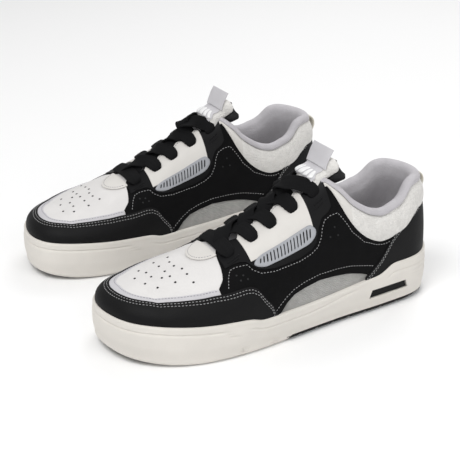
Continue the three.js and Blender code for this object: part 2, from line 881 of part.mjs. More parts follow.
function tongueLayer(from, to, stations = tongueStations, reach = () => 1, across = tongueColumns) {
  const grid = (deepAt) => stations.map((v) => across.map((share) => {
    const x = share * reach(v);
    return tonguePoint(v, x, deepAt(v, x));
  }));
  return turnedOut(shell(grid(from), grid(to)));
}

// share of the tongue's half width that a width across it takes up
function tongueShare(v, width) {
  const middle = tonguePoint(v, 0, 0).y;
  let a = 0;
  let b = 1;
  for (let i = 0; i < 20; i += 1) {
    const m = (a + b) / 2;
    if (tonguePoint(v, m, 0).y - middle < width / 2) a = m;
    else b = m;
  }
  return a;
}

function tonguePad(v, x) {
  return tongueThickness * (0.55 + 0.45 * clamp(v / 2, 0, 1)) * (1 - 0.45 * Math.abs(x) ** 3);
}

function makeTongue() {
  return tongueLayer(() => 0, tonguePad);
}

function makeTongueLining() {
  return tongueLayer((v, x) => tonguePad(v, x) + fitGap, (v, x) => tonguePad(v, x) + fitGap + tongueLiningThickness);
}

function makeTongueTab() {
  const top = tongueEnd + tabReach / 14;
  const below = () => -tabGap;
  return tongueLayer((v) => below(v) - tabThickness, below, [7.2, 7.6, tongueEnd, top],
    (v) => tongueShare(Math.min(v, tongueEnd), tabWidth), [-1, -0.5, 0, 0.5, 1]);
}

function makeTongueLabel() {
  return tongueLayer(() => -tabGap - labelThickness, () => -tabGap, [7.1 - labelLength / 14, 7.1],
    (v) => tongueShare(v, labelWidth), [-1, -0.5, 0, 0.5, 1]);
}

// one point of the lace's route, on one side of the shoe
function lacePoint(side, s, t, off, neck = false) {
  return { at: skin(side > 0 ? s : 1 - s, t, off), neck };
}

// from under the eyestay at one row, over the tongue, into the next row's hole on the other side
function laceStrand(side, row, height) {
  const from = laceRows[row];
  const to = laceRows[row + 1];
  const middle = (from + to) / 2;
  const top = laceLift;
  return [
    lacePoint(side, from, 0.8, laceUnder),
    lacePoint(side, from - 0.001, 0.875, laceUnder),
    lacePoint(side, from - 0.003, 0.94, height > 2 ? 0.2 : -0.6),
    lacePoint(side, middle, 1, height),
    lacePoint(-side, to + 0.003, 0.93, top + 0.9),
    lacePoint(-side, to + 0.0005, 0.85, top),
    lacePoint(-side, to, 0.785, top, true),
    lacePoint(-side, to, 0.737, top - 0.6, true),
    lacePoint(-side, to, 0.72, -0.9, true),
    lacePoint(-side, to, 0.737, laceUnder, true),
  ];
}

function laceRoute() {
  const front = laceRows[0];
  const bar = [
    lacePoint(-1, front, 0.737, laceUnder, true),
    lacePoint(-1, front, 0.72, -0.9, true),
    lacePoint(-1, front, 0.737, laceLift - 0.6, true),
    lacePoint(-1, front, 0.785, laceLift, true),
    lacePoint(-1, front, 0.86, laceLift),
    lacePoint(-1, front, 1, laceLift + 0.2),
    lacePoint(1, front, 0.86, laceLift),
    lacePoint(1, front, 0.785, laceLift, true),
    lacePoint(1, front, 0.737, laceLift - 0.6, true),
    lacePoint(1, front, 0.72, -0.9, true),
    lacePoint(1, front, 0.737, laceUnder, true),
  ];
  const high = 3.7;
  const low = 1.3;
  const first = [];
  const second = [];
  for (let row = 0; row < 4; row += 1) {
    const side = row % 2 === 0 ? 1 : -1;
    const over = (from) => ((from < 0) === (row === 3) ? high : low);
    first.push(...laceStrand(side, row, over(side)));
    second.push(...laceStrand(-side, row, over(-side)));
  }
  return [...second.reverse(), ...bar, ...first];
}

function makeLace() {
  const route = laceRoute();
  const path = new THREE.CatmullRomCurve3(route.map((p) => p.at), false, "centripetal");
  const steps = (route.length - 1) * 2;
  const ridge = new THREE.Vector3(-0.9, 0, 0.43).normalize();
  const sections = [];
  for (let i = 0; i <= steps; i += 1) {
    const k = i / 2;
    const p = path.getPoint(i / steps);
    const along = path.getTangent(i / steps);
    const wide = ridge.clone().addScaledVector(along, -ridge.dot(along)).normalize();
    const thick = along.clone().cross(wide);
    const neck = route[Math.floor(k)].neck && route[Math.ceil(k)].neck ? 1
      : route[Math.floor(k)].neck || route[Math.ceil(k)].neck ? 0.5 : 0;
    const w = (laceWidth + (laceNeck - laceWidth) * neck) / 2;
    const h = (laceThickness + (laceNeckThickness - laceThickness) * neck) / 2;
    sections.push([[-w, -h], [w, -h], [w, h], [-w, h]]
      .map(([a, b]) => p.clone().addScaledVector(wide, a).addScaledVector(thick, b)));
  }
  return loft(sections);
}

const finish = {
  rubber: { color: 0x1b1b1d, roughness: 0.75, metalness: 0 },
  cupsole: { color: 0xd9d4cb, roughness: 0.7, metalness: 0 },
  blackLeather: { color: 0x121315, roughness: 0.6, metalness: 0 },
  whiteLeather: { color: 0xf1efee, roughness: 0.5, metalness: 0 },
  lilac: { color: 0xcfcad3, roughness: 0.75, metalness: 0 },
  terry: { color: 0xe6e4e0, roughness: 0.9, metalness: 0 },
  greyPlastic: { color: 0xa9abb2, roughness: 0.45, metalness: 0 },
  greyKnit: { color: 0xb9b7b6, roughness: 0.9, metalness: 0 },
  board: { color: 0xb49a78, roughness: 0.85, metalness: 0 },
  steel: { color: 0x8d9197, roughness: 0.35, metalness: 0.9 },
  webbing: { color: 0xe4ddcd, roughness: 0.85, metalness: 0 },
  lace: { color: 0x101013, roughness: 0.85, metalness: 0 },
};

const cup = rings(cupProfile());
const pieces = [
  ["outsole", makeOutsole(cup), finish.rubber],
  ["midsole", makeMidsole(cup), finish.cupsole],
  ["window_insert_lateral", windowBar(1, fitGap, windowDepth - fitGap, windowRecess), finish.rubber],
  ["window_insert_medial", windowBar(-1, fitGap, windowDepth - fitGap, windowRecess), finish.rubber],
  ["shank", shankBar(0), finish.steel],
  ["insole_board", makeBoard(), finish.board],
  ["sockliner", makeSockliner(), finish.lilac],
  ["vamp_lining", makeVampLining(), finish.lilac],
  ["collar_lining", makeCollarLining(), finish.lilac],
  ["toe_puff", makeToePuff(), finish.board],
  ["heel_counter", makeHeelCounter(), finish.board],
  ["vamp", makeVamp(), finish.whiteLeather],
  ["toe_trim", makeToeTrim(), finish.lilac],
  ["mudguard", makeMudguard(), finish.blackLeather],
  ["quarter_lateral", makeQuarter(1), finish.blackLeather],
  ["quarter_medial", makeQuarter(-1), finish.blackLeather],
  ["eyestay_lateral", makeEyestay(1), finish.whiteLeather],
  ["eyestay_medial", makeEyestay(-1), finish.whiteLeather],
  ["badge_lateral", makeBadge(1), finish.greyPlastic],
  ["badge_medial", makeBadge(-1), finish.greyPlastic],
  ["mesh_lateral", makeMeshPanel(1), finish.greyKnit],
  ["mesh_medial", makeMeshPanel(-1), finish.greyKnit],
  ["heel_patch", makeHeelPatch(), finish.blackLeather],
  ["collar", makeCollar(), finish.terry],
  ["heel_loop", makeHeelLoop(), finish.webbing],
  ["tongue", makeTongue(), finish.terry],
  ["tongue_lining", makeTongueLining(), finish.blackLeather],
  ["tongue_tab", makeTongueTab(), finish.lilac],
  ["tongue_label", makeTongueLabel(), finish.whiteLeather],
  ["lace", makeLace(), finish.lace],
];

// shoe coordinates to the pair's frame; the mirrored shoe turns its faces over
function placed(body, side) {
  const positions = [];
  for (const face of body.faces) {
    const [a, b, c] = side > 0 ? face : [face[0], face[2], face[1]];
    for (const k of [a, b, c]) {
      const p = body.points[k];
      positions.push(side * p.y, -p.x, p.z);
    }
  }
  const geometry = new THREE.BufferGeometry();
  geometry.setAttribute("position", new THREE.Float32BufferAttribute(positions, 3));
  geometry.computeVertexNormals();
  return geometry;
}

const pair = new THREE.Group();
pair.name = "sneaker_pair";
for (const [name, side] of [["left", 1], ["right", -1]]) {
  const shoe = new THREE.Group();
  shoe.name = `${name}_shoe`;
  shoe.position.set(side * pairPitch / 2, soleLength / 2, 0);
  for (const [piece, body, look] of pieces) {
    const mesh = new THREE.Mesh(placed(body, side), new THREE.MeshStandardMaterial(look));
    mesh.name = `${name}_${piece}`;
    shoe.add(mesh);
  }
  pair.add(shoe);
}

export default pair;
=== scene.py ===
import bpy
import math
from mathutils import Matrix, Vector


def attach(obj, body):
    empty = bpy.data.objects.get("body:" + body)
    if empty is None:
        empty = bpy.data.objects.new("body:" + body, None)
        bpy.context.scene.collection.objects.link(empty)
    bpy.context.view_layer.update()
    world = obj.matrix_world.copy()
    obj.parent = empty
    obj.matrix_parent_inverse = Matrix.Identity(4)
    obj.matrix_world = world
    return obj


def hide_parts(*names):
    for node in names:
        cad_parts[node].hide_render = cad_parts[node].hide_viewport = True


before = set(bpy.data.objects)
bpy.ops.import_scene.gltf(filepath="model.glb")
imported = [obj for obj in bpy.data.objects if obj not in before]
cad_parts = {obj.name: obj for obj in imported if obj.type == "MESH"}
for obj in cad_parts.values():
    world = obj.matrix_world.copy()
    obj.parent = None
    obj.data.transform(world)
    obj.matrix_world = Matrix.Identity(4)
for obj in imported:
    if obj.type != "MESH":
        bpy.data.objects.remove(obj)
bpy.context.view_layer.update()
print("frame loaded")

# camera
view = {"azimuth": 61.96, "elevation": 23.33, "distance": 1.025, "target": (0, 0, 0.045),
        "lens": 90.9, "shiftX": 0.0247, "shiftY": -0.010}


def makeCamera():
    a, e = math.radians(view["azimuth"]), math.radians(view["elevation"])
    back = Vector((math.sin(a) * math.cos(e), -math.cos(a) * math.cos(e), math.sin(e)))
    right = Vector((math.cos(a), math.sin(a), 0))
    up = back.cross(right)
    data = bpy.data.cameras.new("camera")
    data.lens = view["lens"]
    data.sensor_width = 36
    data.shift_x = view["shiftX"]
    data.shift_y = view["shiftY"]
    camera = bpy.data.objects.new("camera", data)
    bpy.context.scene.collection.objects.link(camera)
    turn = Matrix((right, up, back)).transposed().to_4x4()
    camera.matrix_world = Matrix.Translation(Vector(view["target"]) + back * view["distance"]) @ turn
    bpy.context.scene.camera = camera


makeCamera()

# the last the shoe is built on, in millimetres: f from the heel, l to the outer side, z up
last = {
    "length": 300, "width": 115, "pitch": 174, "toeSpring": 6, "panel": 1.8, "ledge": 1.9,
    "ridgeHeel": 51.9, "ridgeToe": 266.1,
    "plan": [(0, 0), (0.02, 0.19), (0.08, 0.313), (0.2, 0.365), (0.35, 0.4), (0.5, 0.452), (0.65, 0.504),
             (0.783, 0.496), (0.893, 0.4), (0.97, 0.217), (1, -0.052), (0.977, -0.27), (0.9, -0.4),
             (0.783, -0.452), (0.65, -0.426), (0.5, -0.365), (0.35, -0.33), (0.2, -0.322),
             (0.08, -0.287), (0.02, -0.183)],
    "feather": [(0, 42), (0.067, 39.5), (0.127, 39), (0.173, 38.5), (0.2, 34.5), (0.22, 32), (0.267, 30.5),
                (0.35, 28), (0.43, 26.3), (0.5, 25.8), (0.567, 26), (0.62, 26.5), (0.653, 29.5), (0.7, 31),
                (0.8, 33), (0.893, 35), (0.967, 36), (1, 36.5)],
    "ridge": [(0.133, 150), (0.233, 142), (0.317, 130), (0.4, 112), (0.483, 99), (0.567, 86), (0.65, 75),
              (0.733, 66), (0.817, 59), (0.873, 54), (0.917, 50)],
    "ridgePlan": [(0, 0), (0.2, 0.009), (0.4, 0.009), (0.6, -0.009), (0.8, -0.026), (1, -0.052)],
    "bed": [(0, 23), (0.2, 22), (0.5, 17), (0.7, 15), (0.87, 17), (1, 21)],
    "roundness": [(0.17, 2.1), (0.4, 2.05), (0.6, 2.1), (0.89, 2.25)],
}

# seam lines: (share round from the heel, share up the side)
seams = {
    "mudguard": [(0.268, -0.02), (0.272, 0.0), (0.279, 0.11), (0.286, 0.2), (0.291, 0.287), (0.297, 0.328),
                 (0.304, 0.345), (0.318, 0.353), (0.325, 0.362), (0.335, 0.384), (0.351, 0.404),
                 (0.372, 0.45), (0.389, 0.5), (0.409, 0.545), (0.45, 0.565), (0.5, 0.57)],
    "trim": [(0.329, 0.445), (0.336, 0.467), (0.349, 0.484), (0.369, 0.532), (0.385, 0.586),
             (0.403, 0.645), (0.439, 0.68), (0.464, 0.7), (0.5, 0.73)],
    "vampBack": [(0.31, 0.9), (0.314, 0.83), (0.316, 0.72), (0.318, 0.625), (0.321, 0.535), (0.329, 0.445)],
    "throat": [(0.2, 0.74), (0.205, 0.8), (0.228, 0.82), (0.24, 0.85), (0.26, 0.875),
               (0.288, 0.885), (0.31, 0.9)],
    "mesh": [(0.165, 0.0), (0.173, 0.028), (0.191, 0.071), (0.208, 0.102), (0.226, 0.129), (0.242, 0.124),
             (0.254, 0.109), (0.262, 0.07), (0.268, 0.015), (0.27, 0.0)],
    "patch": [(0, 0.26), (0.06, 0.262), (0.09, 0.258), (0.105, 0.24), (0.122, 0.2), (0.138, 0.145),
              (0.151, 0.092), (0.163, 0.048), (0.173, 0.012)],
    "collarLow": [(0, 0.245), (0.09, 0.25), (0.105, 0.225), (0.122, 0.175), (0.138, 0.155), (0.151, 0.172),
                  (0.163, 0.2), (0.174, 0.246), (0.184, 0.321), (0.193, 0.44), (0.199, 0.583),
                  (0.204, 0.745)],
    "topline": [(0, 0.385), (0.04, 0.388), (0.07, 0.395), (0.09, 0.398), (0.107, 0.385), (0.116, 0.358),
                (0.123, 0.328), (0.133, 0.298), (0.144, 0.29), (0.157, 0.306), (0.17, 0.348), (0.18, 0.411),
                (0.187, 0.476), (0.193, 0.569), (0.199, 0.67), (0.204, 0.775)],
}


def clamp(x, low, high):
    return min(high, max(low, x))


def smooth(x):
    x = clamp(x, 0, 1)
    return x * x * (3 - 2 * x)


def span(points, x):
    end = len(points) - 1
    at = clamp(x, points[0][0], points[end][0])
    i = 0
    while i < end - 1 and at > points[i + 1][0]:
        i += 1
    return i, at


def line(points, x):
    i, at = span(points, x)
    (x0, y0), (x1, y1) = points[i][:2], points[i + 1][:2]
    return y0 + (y1 - y0) * (at - x0) / (x1 - x0)


def curve(points, x):
    end = len(points) - 1
    i, at = span(points, x)

    def slope(k):
        a, b = points[max(0, k - 1)], points[min(end, k + 1)]
        return (b[1] - a[1]) / (b[0] - a[0])

    (x0, y0), (x1, y1) = points[i][:2], points[i + 1][:2]
    h = x1 - x0
    w = (at - x0) / h
    return (y0 * (2 * w ** 3 - 3 * w * w + 1) + h * slope(i) * (w ** 3 - 2 * w * w + w)
            + y1 * (3 * w * w - 2 * w ** 3) + h * slope(i + 1) * (w ** 3 - w * w))


# the place w along a smooth line from b to c, with a before them and d after
def between(a, b, c, d, w):
    return [0.5 * (2 * b[k] + (c[k] - a[k]) * w + (2 * a[k] - 5 * b[k] + 4 * c[k] - d[k]) * w * w
                   + (3 * b[k] - a[k] - 3 * c[k] + d[k]) * w ** 3) for k in (0, 1)]


# a closed smooth line through the points, with u running once round it
def roundLine(points, u):
    n = len(points)
    x = (u % 1) * n
    i = int(x) % n
    return between(points[i - 1], points[i], points[(i + 1) % n], points[(i + 2) % n], x - int(x))


def planPoint(u):
    f, l = roundLine(last["plan"], u)
    return f * last["length"], l * last["width"]


def outline(u, inset):
    f, l = planPoint(u)
    a, b = planPoint(u - 0.001), planPoint(u + 0.001)
    df, dl = b[0] - a[0], b[1] - a[1]
    size = math.hypot(df, dl)
    return f + inset * dl / size, l - inset * df / size


def floorAt(f):
    x = clamp((f / last["length"] - 0.783) / 0.217, 0, 1.02)
    return last["toeSpring"] * x * x


def ridgeLine(f):
    return curve(last["ridgePlan"], f / last["length"]) * last["width"]


def featherAt(f):
    return curve(last["feather"], f / last["length"])


def bare(u, t):
    f, l = outline(u, last["panel"] + last["ledge"] - 0.2)
    s = u % 1
    rf = clamp(planPoint(min(s, 1 - s))[0], last["ridgeHeel"], last["ridgeToe"])
    part = rf / last["length"]
    rl = curve(last["ridgePlan"], part) * last["width"]
    low = featherAt(f)
    n = curve(last["roundness"], part)
    a = clamp(t, 0, 1) * math.pi / 2
    h = 1 - max(0, math.cos(a)) ** (2 / n)
    v = math.sin(a) ** (2 / n)
    return Vector((f + (rf - f) * h, l + (rl - l) * h, low + (curve(last["ridge"], part) - low) * v))


def ridgeNormal(u):
    s = u % 1
    f = clamp(planPoint(min(s, 1 - s))[0], last["ridgeHeel"], last["ridgeToe"]) / last["length"]
    rise = (curve(last["ridge"], f + 0.007) - curve(last["ridge"], f - 0.007)) / 4.2
    return Vector((-rise, 0, 1)).normalized()


def skinNormal(u, t):
    if t > 0.995:
        return ridgeNormal(u)
    e = 0.002
    across = bare(u + e, t) - bare(u - e, t)
    up = bare(u, min(1, t + e)) - bare(u, max(0, t - e))
    normal = up.cross(across).normalized()
    if t > 0.95:
        w = smooth((t - 0.95) / 0.045)
        normal = normal.lerp(ridgeNormal(u), w).normalized()
    return normal


# point of the upper, off millimetres outside its outer face; below the feather it runs straight down
def skin(u, t, off=0.0):
    point = bare(u, t) + skinNormal(u, max(t, 0.004)) * off
    if t < 0:
        point.z += t * 60
    return point


def climb(u, t, length):
    a, b = bare(u, clamp(t - 0.01, 0, 1)), bare(u, clamp(t + 0.01, 0, 1))
    return length * (clamp(t + 0.01, 0, 1) - clamp(t - 0.01, 0, 1)) / max(0.01, (a - b).length)


def fromHeel(u):
    s = u % 1
    return min(s, 1 - s)


def metres(p):
    return Vector(((last["pitch"] / 2 + p[1]) / 1000, (last["length"] / 2 - p[0]) / 1000, p[2] / 1000))


# mesh helpers
def onlySelect(piece):
    if bpy.context.object and bpy.context.object.mode != "OBJECT":
        bpy.ops.object.mode_set(mode="OBJECT")
    bpy.ops.object.select_all(action="DESELECT")
    piece.select_set(True)
    bpy.context.view_layer.objects.active = piece


def applyAll(piece):
    onlySelect(piece)
    for modifier in list(piece.modifiers):
        bpy.ops.object.modifier_apply(modifier=modifier.name)


def tidyMesh(piece, outward=True, distance=0.00003):
    onlySelect(piece)
    bpy.ops.object.mode_set(mode="EDIT")
    bpy.ops.mesh.select_all(action="SELECT")
    bpy.ops.mesh.remove_doubles(threshold=distance)
    if outward:
        bpy.ops.mesh.normals_make_consistent(inside=False)
    bpy.ops.object.mode_set(mode="OBJECT")


def smoothShade(piece, angle=40):
    onlySelect(piece)
    bpy.ops.object.shade_smooth_by_angle(angle=math.radians(angle))


# a grid laid out by place(a, b), a and b running from 0 to 1
def layGrid(name, columns, rows, place):
    bpy.ops.object.select_all(action="DESELECT")
    bpy.ops.mesh.primitive_grid_add(x_subdivisions=columns, y_subdivisions=rows, size=1)
    piece = bpy.context.object
    piece.name = name
    piece.data.name = name
    cache = {}
    for vertex in piece.data.vertices:
        key = (round(vertex.co.x + 0.5, 5), round(vertex.co.y + 0.5, 5))
        if key not in cache:
            cache[key] = metres(place(*key))
        vertex.co = cache[key]
    return piece


# a wall on a sheet, inwards or outwards, with its edges eased
def giveWall(piece, wall, way, ease):
    solidify = piece.modifiers.new("wall", "SOLIDIFY")
    solidify.thickness = wall / 1000
    solidify.offset = way
    if ease:
        bevel = piece.modifiers.new("ease", "BEVEL")
        bevel.width = ease / 1000
        bevel.segments = 2
        bevel.limit_method = "ANGLE"
        bevel.angle_limit = math.radians(50)
    applyAll(piece)
    smoothShade(piece, 50)


# a sheet of the upper from u to u, between two lines, with its wall inwards and its edges eased
def layPanel(name, us, low, high, off, wall, columns, rows, ease=0.35):
    def place(a, b):
        u = us[0] + (us[1] - us[0]) * a
        s = fromHeel(u)
        bottom, top = low(s), high(s)
        t = bottom + (top - bottom) * b
        return skin(u, t, off(u, t, b) if callable(off) else off)

    piece = layGrid(name, columns, rows, place)
    tidyMesh(piece, outward=False)
    outwards(piece)
    giveWall(piece, wall, -1, ease)
    return piece


# the open sheets of the upper face away from the inside of the shoe
def outwards(piece):
    centre = metres((150, 0, 30))
    total = 0
    for face in piece.data.polygons:
        away = face.center - Vector((centre.x, face.center.y, 0.03))
        total += face.normal.dot(away) * face.area
    if total < 0:
        piece.data.flip_normals()


def closeEnds(piece):
    onlySelect(piece)
    bpy.ops.object.mode_set(mode="EDIT")
    bpy.ops.mesh.select_mode(type="EDGE")
    bpy.ops.mesh.select_all(action="DESELECT")
    bpy.ops.mesh.select_non_manifold()
    bpy.ops.mesh.fill()
    bpy.ops.object.mode_set(mode="OBJECT")


def closeShell(piece):
    tidyMesh(piece)
    smoothShade(piece, 60)


def joinPieces(name, pieces):
    onlySelect(pieces[0])
    for piece in pieces[1:]:
        piece.select_set(True)
    bpy.ops.object.join()
    pieces[0].name = name
    pieces[0].data.name = name
    return pieces[0]


# gives the piece to the left shoe and its mirror image to the right one
def bothShoes(piece, material, nodes=(), body="shoe"):
    name = piece.name
    piece.data.materials.clear()
    piece.data.materials.append(material)
    for face in piece.data.polygons:
        face.material_index = 0
    twin = bpy.data.objects.new(name + "Right", piece.data.copy())
    twin.data.name = name + "Right"
    bpy.context.scene.collection.objects.link(twin)
    for vertex in twin.data.vertices:
        vertex.co.x = -vertex.co.x
    twin.data.flip_normals()
    piece.name = name + "Left"
    piece.data.name = name + "Left"
    for each, side in ((piece, "left"), (twin, "right")):
        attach(each, side + "_" + body)
        if nodes:
            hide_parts(*[side + "_" + node for node in nodes])
    print("made", name)
    return piece, twin


# finishes
def newFinish(name, colour, roughness=0.6, mottle=0.08, mottleScale=70, grain=(), sheen=0.0, coat=0.0,
              specular=0.5):
    material = bpy.data.materials.new(name)
    material.use_nodes = True
    nodes, links = material.node_tree.nodes, material.node_tree.links
    shader = nodes["Principled BSDF"]
    shader.inputs["Sheen Weight"].default_value = sheen
    shader.inputs["Sheen Roughness"].default_value = 0.5
    shader.inputs["Coat Weight"].default_value = coat
    shader.inputs["Specular IOR Level"].default_value = specular
    place = nodes.new("ShaderNodeTexCoord")
    cloud = nodes.new("ShaderNodeTexNoise")
    cloud.inputs["Scale"].default_value = mottleScale
    cloud.inputs["Detail"].default_value = 6
    links.new(place.outputs["Object"], cloud.inputs["Vector"])
    tint = nodes.new("ShaderNodeValToRGB")
    tint.color_ramp.elements[0].position = 0.3
    tint.color_ramp.elements[1].position = 0.7
    tint.color_ramp.elements[0].color = [c * (1 - mottle) for c in colour] + [1]
    tint.color_ramp.elements[1].color = [min(1, c * (1 + mottle)) for c in colour] + [1]
    links.new(cloud.outputs["Fac"], tint.inputs["Fac"])
    links.new(tint.outputs["Color"], shader.inputs["Base Color"])
    rough = nodes.new("ShaderNodeMapRange")
    rough.inputs["To Min"].default_value = max(0.05, roughness - 0.08)
    rough.inputs["To Max"].default_value = min(1, roughness + 0.08)
    links.new(cloud.outputs["Fac"], rough.inputs["Value"])
    links.new(rough.outputs["Result"], shader.inputs["Roughness"])
    normal = None
    for kind, scale, strength, depth in grain:
        if kind == "cells":
            pattern = nodes.new("ShaderNodeTexVoronoi")
            pattern.feature = "F1"
            pattern.inputs["Scale"].default_value = scale
            height = pattern.outputs["Distance"]
        elif kind in ("ribsX", "ribsY", "ribsZ", "diagonal"):
            pattern = nodes.new("ShaderNodeTexWave")
            pattern.bands_direction = {"ribsX": "X", "ribsY": "Y", "ribsZ": "Z", "diagonal": "DIAGONAL"}[kind]
            pattern.inputs["Scale"].default_value = scale
            pattern.inputs["Distortion"].default_value = 0.4
            height = pattern.outputs["Fac"]
        else:
            pattern = nodes.new("ShaderNodeTexNoise")
            pattern.inputs["Scale"].default_value = scale
            pattern.inputs["Detail"].default_value = 4
            height = pattern.outputs["Fac"]
        links.new(place.outputs["Object"], pattern.inputs["Vector"])
        bump = nodes.new("ShaderNodeBump")
        bump.inputs["Strength"].default_value = strength
        bump.inputs["Distance"].default_value = depth / 1000
        bump.invert = kind == "cells"
        links.new(height, bump.inputs["Height"])
        if normal:
            links.new(normal, bump.inputs["Normal"])
        normal = bump.outputs["Normal"]
    if normal:
        links.new(normal, shader.inputs["Normal"])
    return material


# a woven look that follows the piece's own map: ribs across or along it
def addWeave(material, across, along, strength, depth):
    nodes, links = material.node_tree.nodes, material.node_tree.links
    shader = nodes["Principled BSDF"]
    before = shader.inputs["Normal"].links[0].from_socket if shader.inputs["Normal"].links else None
    place = nodes.new("ShaderNodeUVMap")
    for direction, scale in (("X", across), ("Y", along)):
        if not scale:
            continue
        wave = nodes.new("ShaderNodeTexWave")
        wave.bands_direction = direction
        wave.inputs["Scale"].default_value = scale
        wave.inputs["Distortion"].default_value = 0.15
        links.new(place.outputs["UV"], wave.inputs["Vector"])
        bump = nodes.new("ShaderNodeBump")
        bump.inputs["Strength"].default_value = strength
        bump.inputs["Distance"].default_value = depth / 1000
        links.new(wave.outputs["Fac"], bump.inputs["Height"])
        if before:
            links.new(before, bump.inputs["Normal"])
        before = bump.outputs["Normal"]
    links.new(before, shader.inputs["Normal"])
    return material


creamRubber = newFinish("creamRubber", (0.68, 0.65, 0.605), 0.62, 0.03, 40,
                        (("noise", 900, 0.25, 0.25),), specular=0.35)
blackRubber = newFinish("blackRubber", (0.0025, 0.0025, 0.0025), 0.5, 0.2, 60,
                        (("noise", 1200, 0.3, 0.2),), specular=0.15)
whiteLeather = newFinish("whiteLeather", (0.66, 0.645, 0.635), 0.5, 0.03, 60,
                         (("cells", 900, 0.35, 0.25), ("noise", 350, 0.25, 0.4)))
smoothLeather = newFinish("smoothLeather", (0.63, 0.61, 0.58), 0.48, 0.03, 50, (("noise", 500, 0.2, 0.3),))
blackLeather = newFinish("blackLeather", (0.0026, 0.0026, 0.003), 0.6, 0.25, 90,
                         (("cells", 1000, 0.45, 0.25), ("noise", 400, 0.3, 0.3)), specular=0.18)
blackNubuck = newFinish("blackNubuck", (0.003, 0.003, 0.0033), 0.88, 0.3, 120,
                        (("noise", 1500, 0.4, 0.2), ("noise", 300, 0.2, 0.3)), sheen=0.01, specular=0.12)
blackFrame = newFinish("blackFrame", (0.003, 0.003, 0.0036), 0.45, 0.15, 60,
                       (("noise", 1400, 0.12, 0.12),), specular=0.14)
lilacTape = newFinish("lilacTape", (0.52, 0.51, 0.53), 0.66, 0.04, 80,
                      (("diagonal", 900, 0.25, 0.12), ("noise", 800, 0.2, 0.15)))
greyMoulding = newFinish("greyMoulding", (0.33, 0.34, 0.365), 0.42, 0.03, 50, (("noise", 1500, 0.1, 0.1),))
greyKnit = newFinish("greyKnit", (0.42, 0.415, 0.4), 0.85, 0.1, 160,
                     (("noise", 1600, 0.3, 0.2),), specular=0.2)
addWeave(greyKnit, 0, 5, 0.9, 0.7)
whiteTerry = newFinish("whiteTerry", (0.69, 0.675, 0.65), 0.93, 0.06, 220,
                       (("cells", 620, 0.8, 0.7), ("noise", 1100, 0.5, 0.4)), sheen=0.15, specular=0.15)
creamWebbing = newFinish("creamWebbing", (0.7, 0.67, 0.59), 0.85, 0.06, 150,
                         (("ribsZ", 500, 0.4, 0.25),), specular=0.2)
liningMesh = newFinish("liningMesh", (0.47, 0.455, 0.475), 0.88, 0.05, 120,
                       (("cells", 800, 0.55, 0.4), ("noise", 200, 0.2, 0.5)), sheen=0.1, specular=0.2)
# black lining of the tongue; the same dark finish is also the painted shade inside the punched holes
blackLiningAndHoleShade = newFinish("blackLiningAndHoleShade", (0.005, 0.005, 0.006), 0.75, 0.2, 100, (("noise", 1200, 0.3, 0.2),))
blackLace = newFinish("blackLace", (0.0045, 0.0045, 0.005), 0.85, 0.25, 160,
                      (("noise", 1500, 0.3, 0.15),), specular=0.15)
whiteThread = newFinish("whiteThread", (0.30, 0.30, 0.30), 0.7, 0.1, 400,
                        (("noise", 2500, 0.3, 0.1),), specular=0.3)
greyThread = newFinish("greyThread", (0.26, 0.255, 0.28), 0.7, 0.1, 400,
                       (("noise", 2500, 0.3, 0.1),), specular=0.3)
brownBoard = newFinish("brownBoard", (0.46, 0.35, 0.24), 0.85, 0.1, 200, (("noise", 900, 0.4, 0.2),))
springSteel = newFinish("springSteel", (0.45, 0.46, 0.48), 0.32, 0.05, 200, (("ribsY", 900, 0.1, 0.03),))
springSteel.node_tree.nodes["Principled BSDF"].inputs["Metallic"].default_value = 1
print("finishes ready")


# the CAD pieces that keep their own shape
keptPieces = {"outsole": blackRubber, "window_insert_lateral": blackRubber,
              "window_insert_medial": blackRubber,
              "shank": springSteel, "insole_board": brownBoard, "toe_puff": brownBoard,
              "heel_counter": brownBoard, "vamp_lining": liningMesh, "sockliner": liningMesh}
for side in ("left", "right"):
    for node, material in keptPieces.items():
        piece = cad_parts[side + "_" + node]
        piece.data.materials.clear()
        piece.data.materials.append(material)


# stitches along lines of the upper: one stitch is modelled, then copied along every line
stitch = {"length": 1.75, "flat": 0.8}


def layStitches(name, rows, material, pitch=2.7, radius=0.34):
    bpy.ops.object.select_all(action="DESELECT")
    bpy.ops.mesh.primitive_uv_sphere_add(segments=6, ring_count=5, radius=1, rotation=(0, math.pi / 2, 0))
    one = bpy.context.object
    bpy.ops.object.transform_apply(rotation=True)
    shape = [v.co.copy() for v in one.data.vertices]
    shapeFaces = [tuple(p.vertices) for p in one.data.polygons]
    bpy.data.objects.remove(one)
    verts, faces = [], []
    half, thick = stitch["length"] / 2000, radius / 1000
    for points, normals in rows:
        lengths = [0]
        for a, b in zip(points, points[1:]):
            lengths.append(lengths[-1] + (b - a).length)
        count = max(1, int(lengths[-1] / pitch))
        for k in range(count):
            at = (k + 0.5) * lengths[-1] / count
            i = min(len(points) - 2, next((j for j in range(len(lengths) - 1) if lengths[j + 1] >= at), 0))
            w = (at - lengths[i]) / max(1e-6, lengths[i + 1] - lengths[i])
            centre = points[i].lerp(points[i + 1], w)
            normal = normals[i].lerp(normals[i + 1], w).normalized()
            along = (points[i + 1] - points[i]).normalized()
            aside = normal.cross(along).normalized()
            axes = [Vector((v.y, -v.x, v.z)) for v in (along, aside, normal)]
            base = len(verts)
            origin = metres(centre)
            for v in shape:
                flat = axes[2] * v.z * thick * stitch["flat"]
                verts.append(origin + axes[0] * v.x * half + axes[1] * v.y * thick + flat)
            faces.extend(tuple(base + q for q in face) for face in shapeFaces)
    mesh = bpy.data.meshes.new(name)
    mesh.from_pydata(verts, [], faces)
    piece = bpy.data.objects.new(name, mesh)
    bpy.context.scene.collection.objects.link(piece)
    tidyMesh(piece, distance=0.000001)
    smoothShade(piece, 80)
    return bothShoes(piece, material)


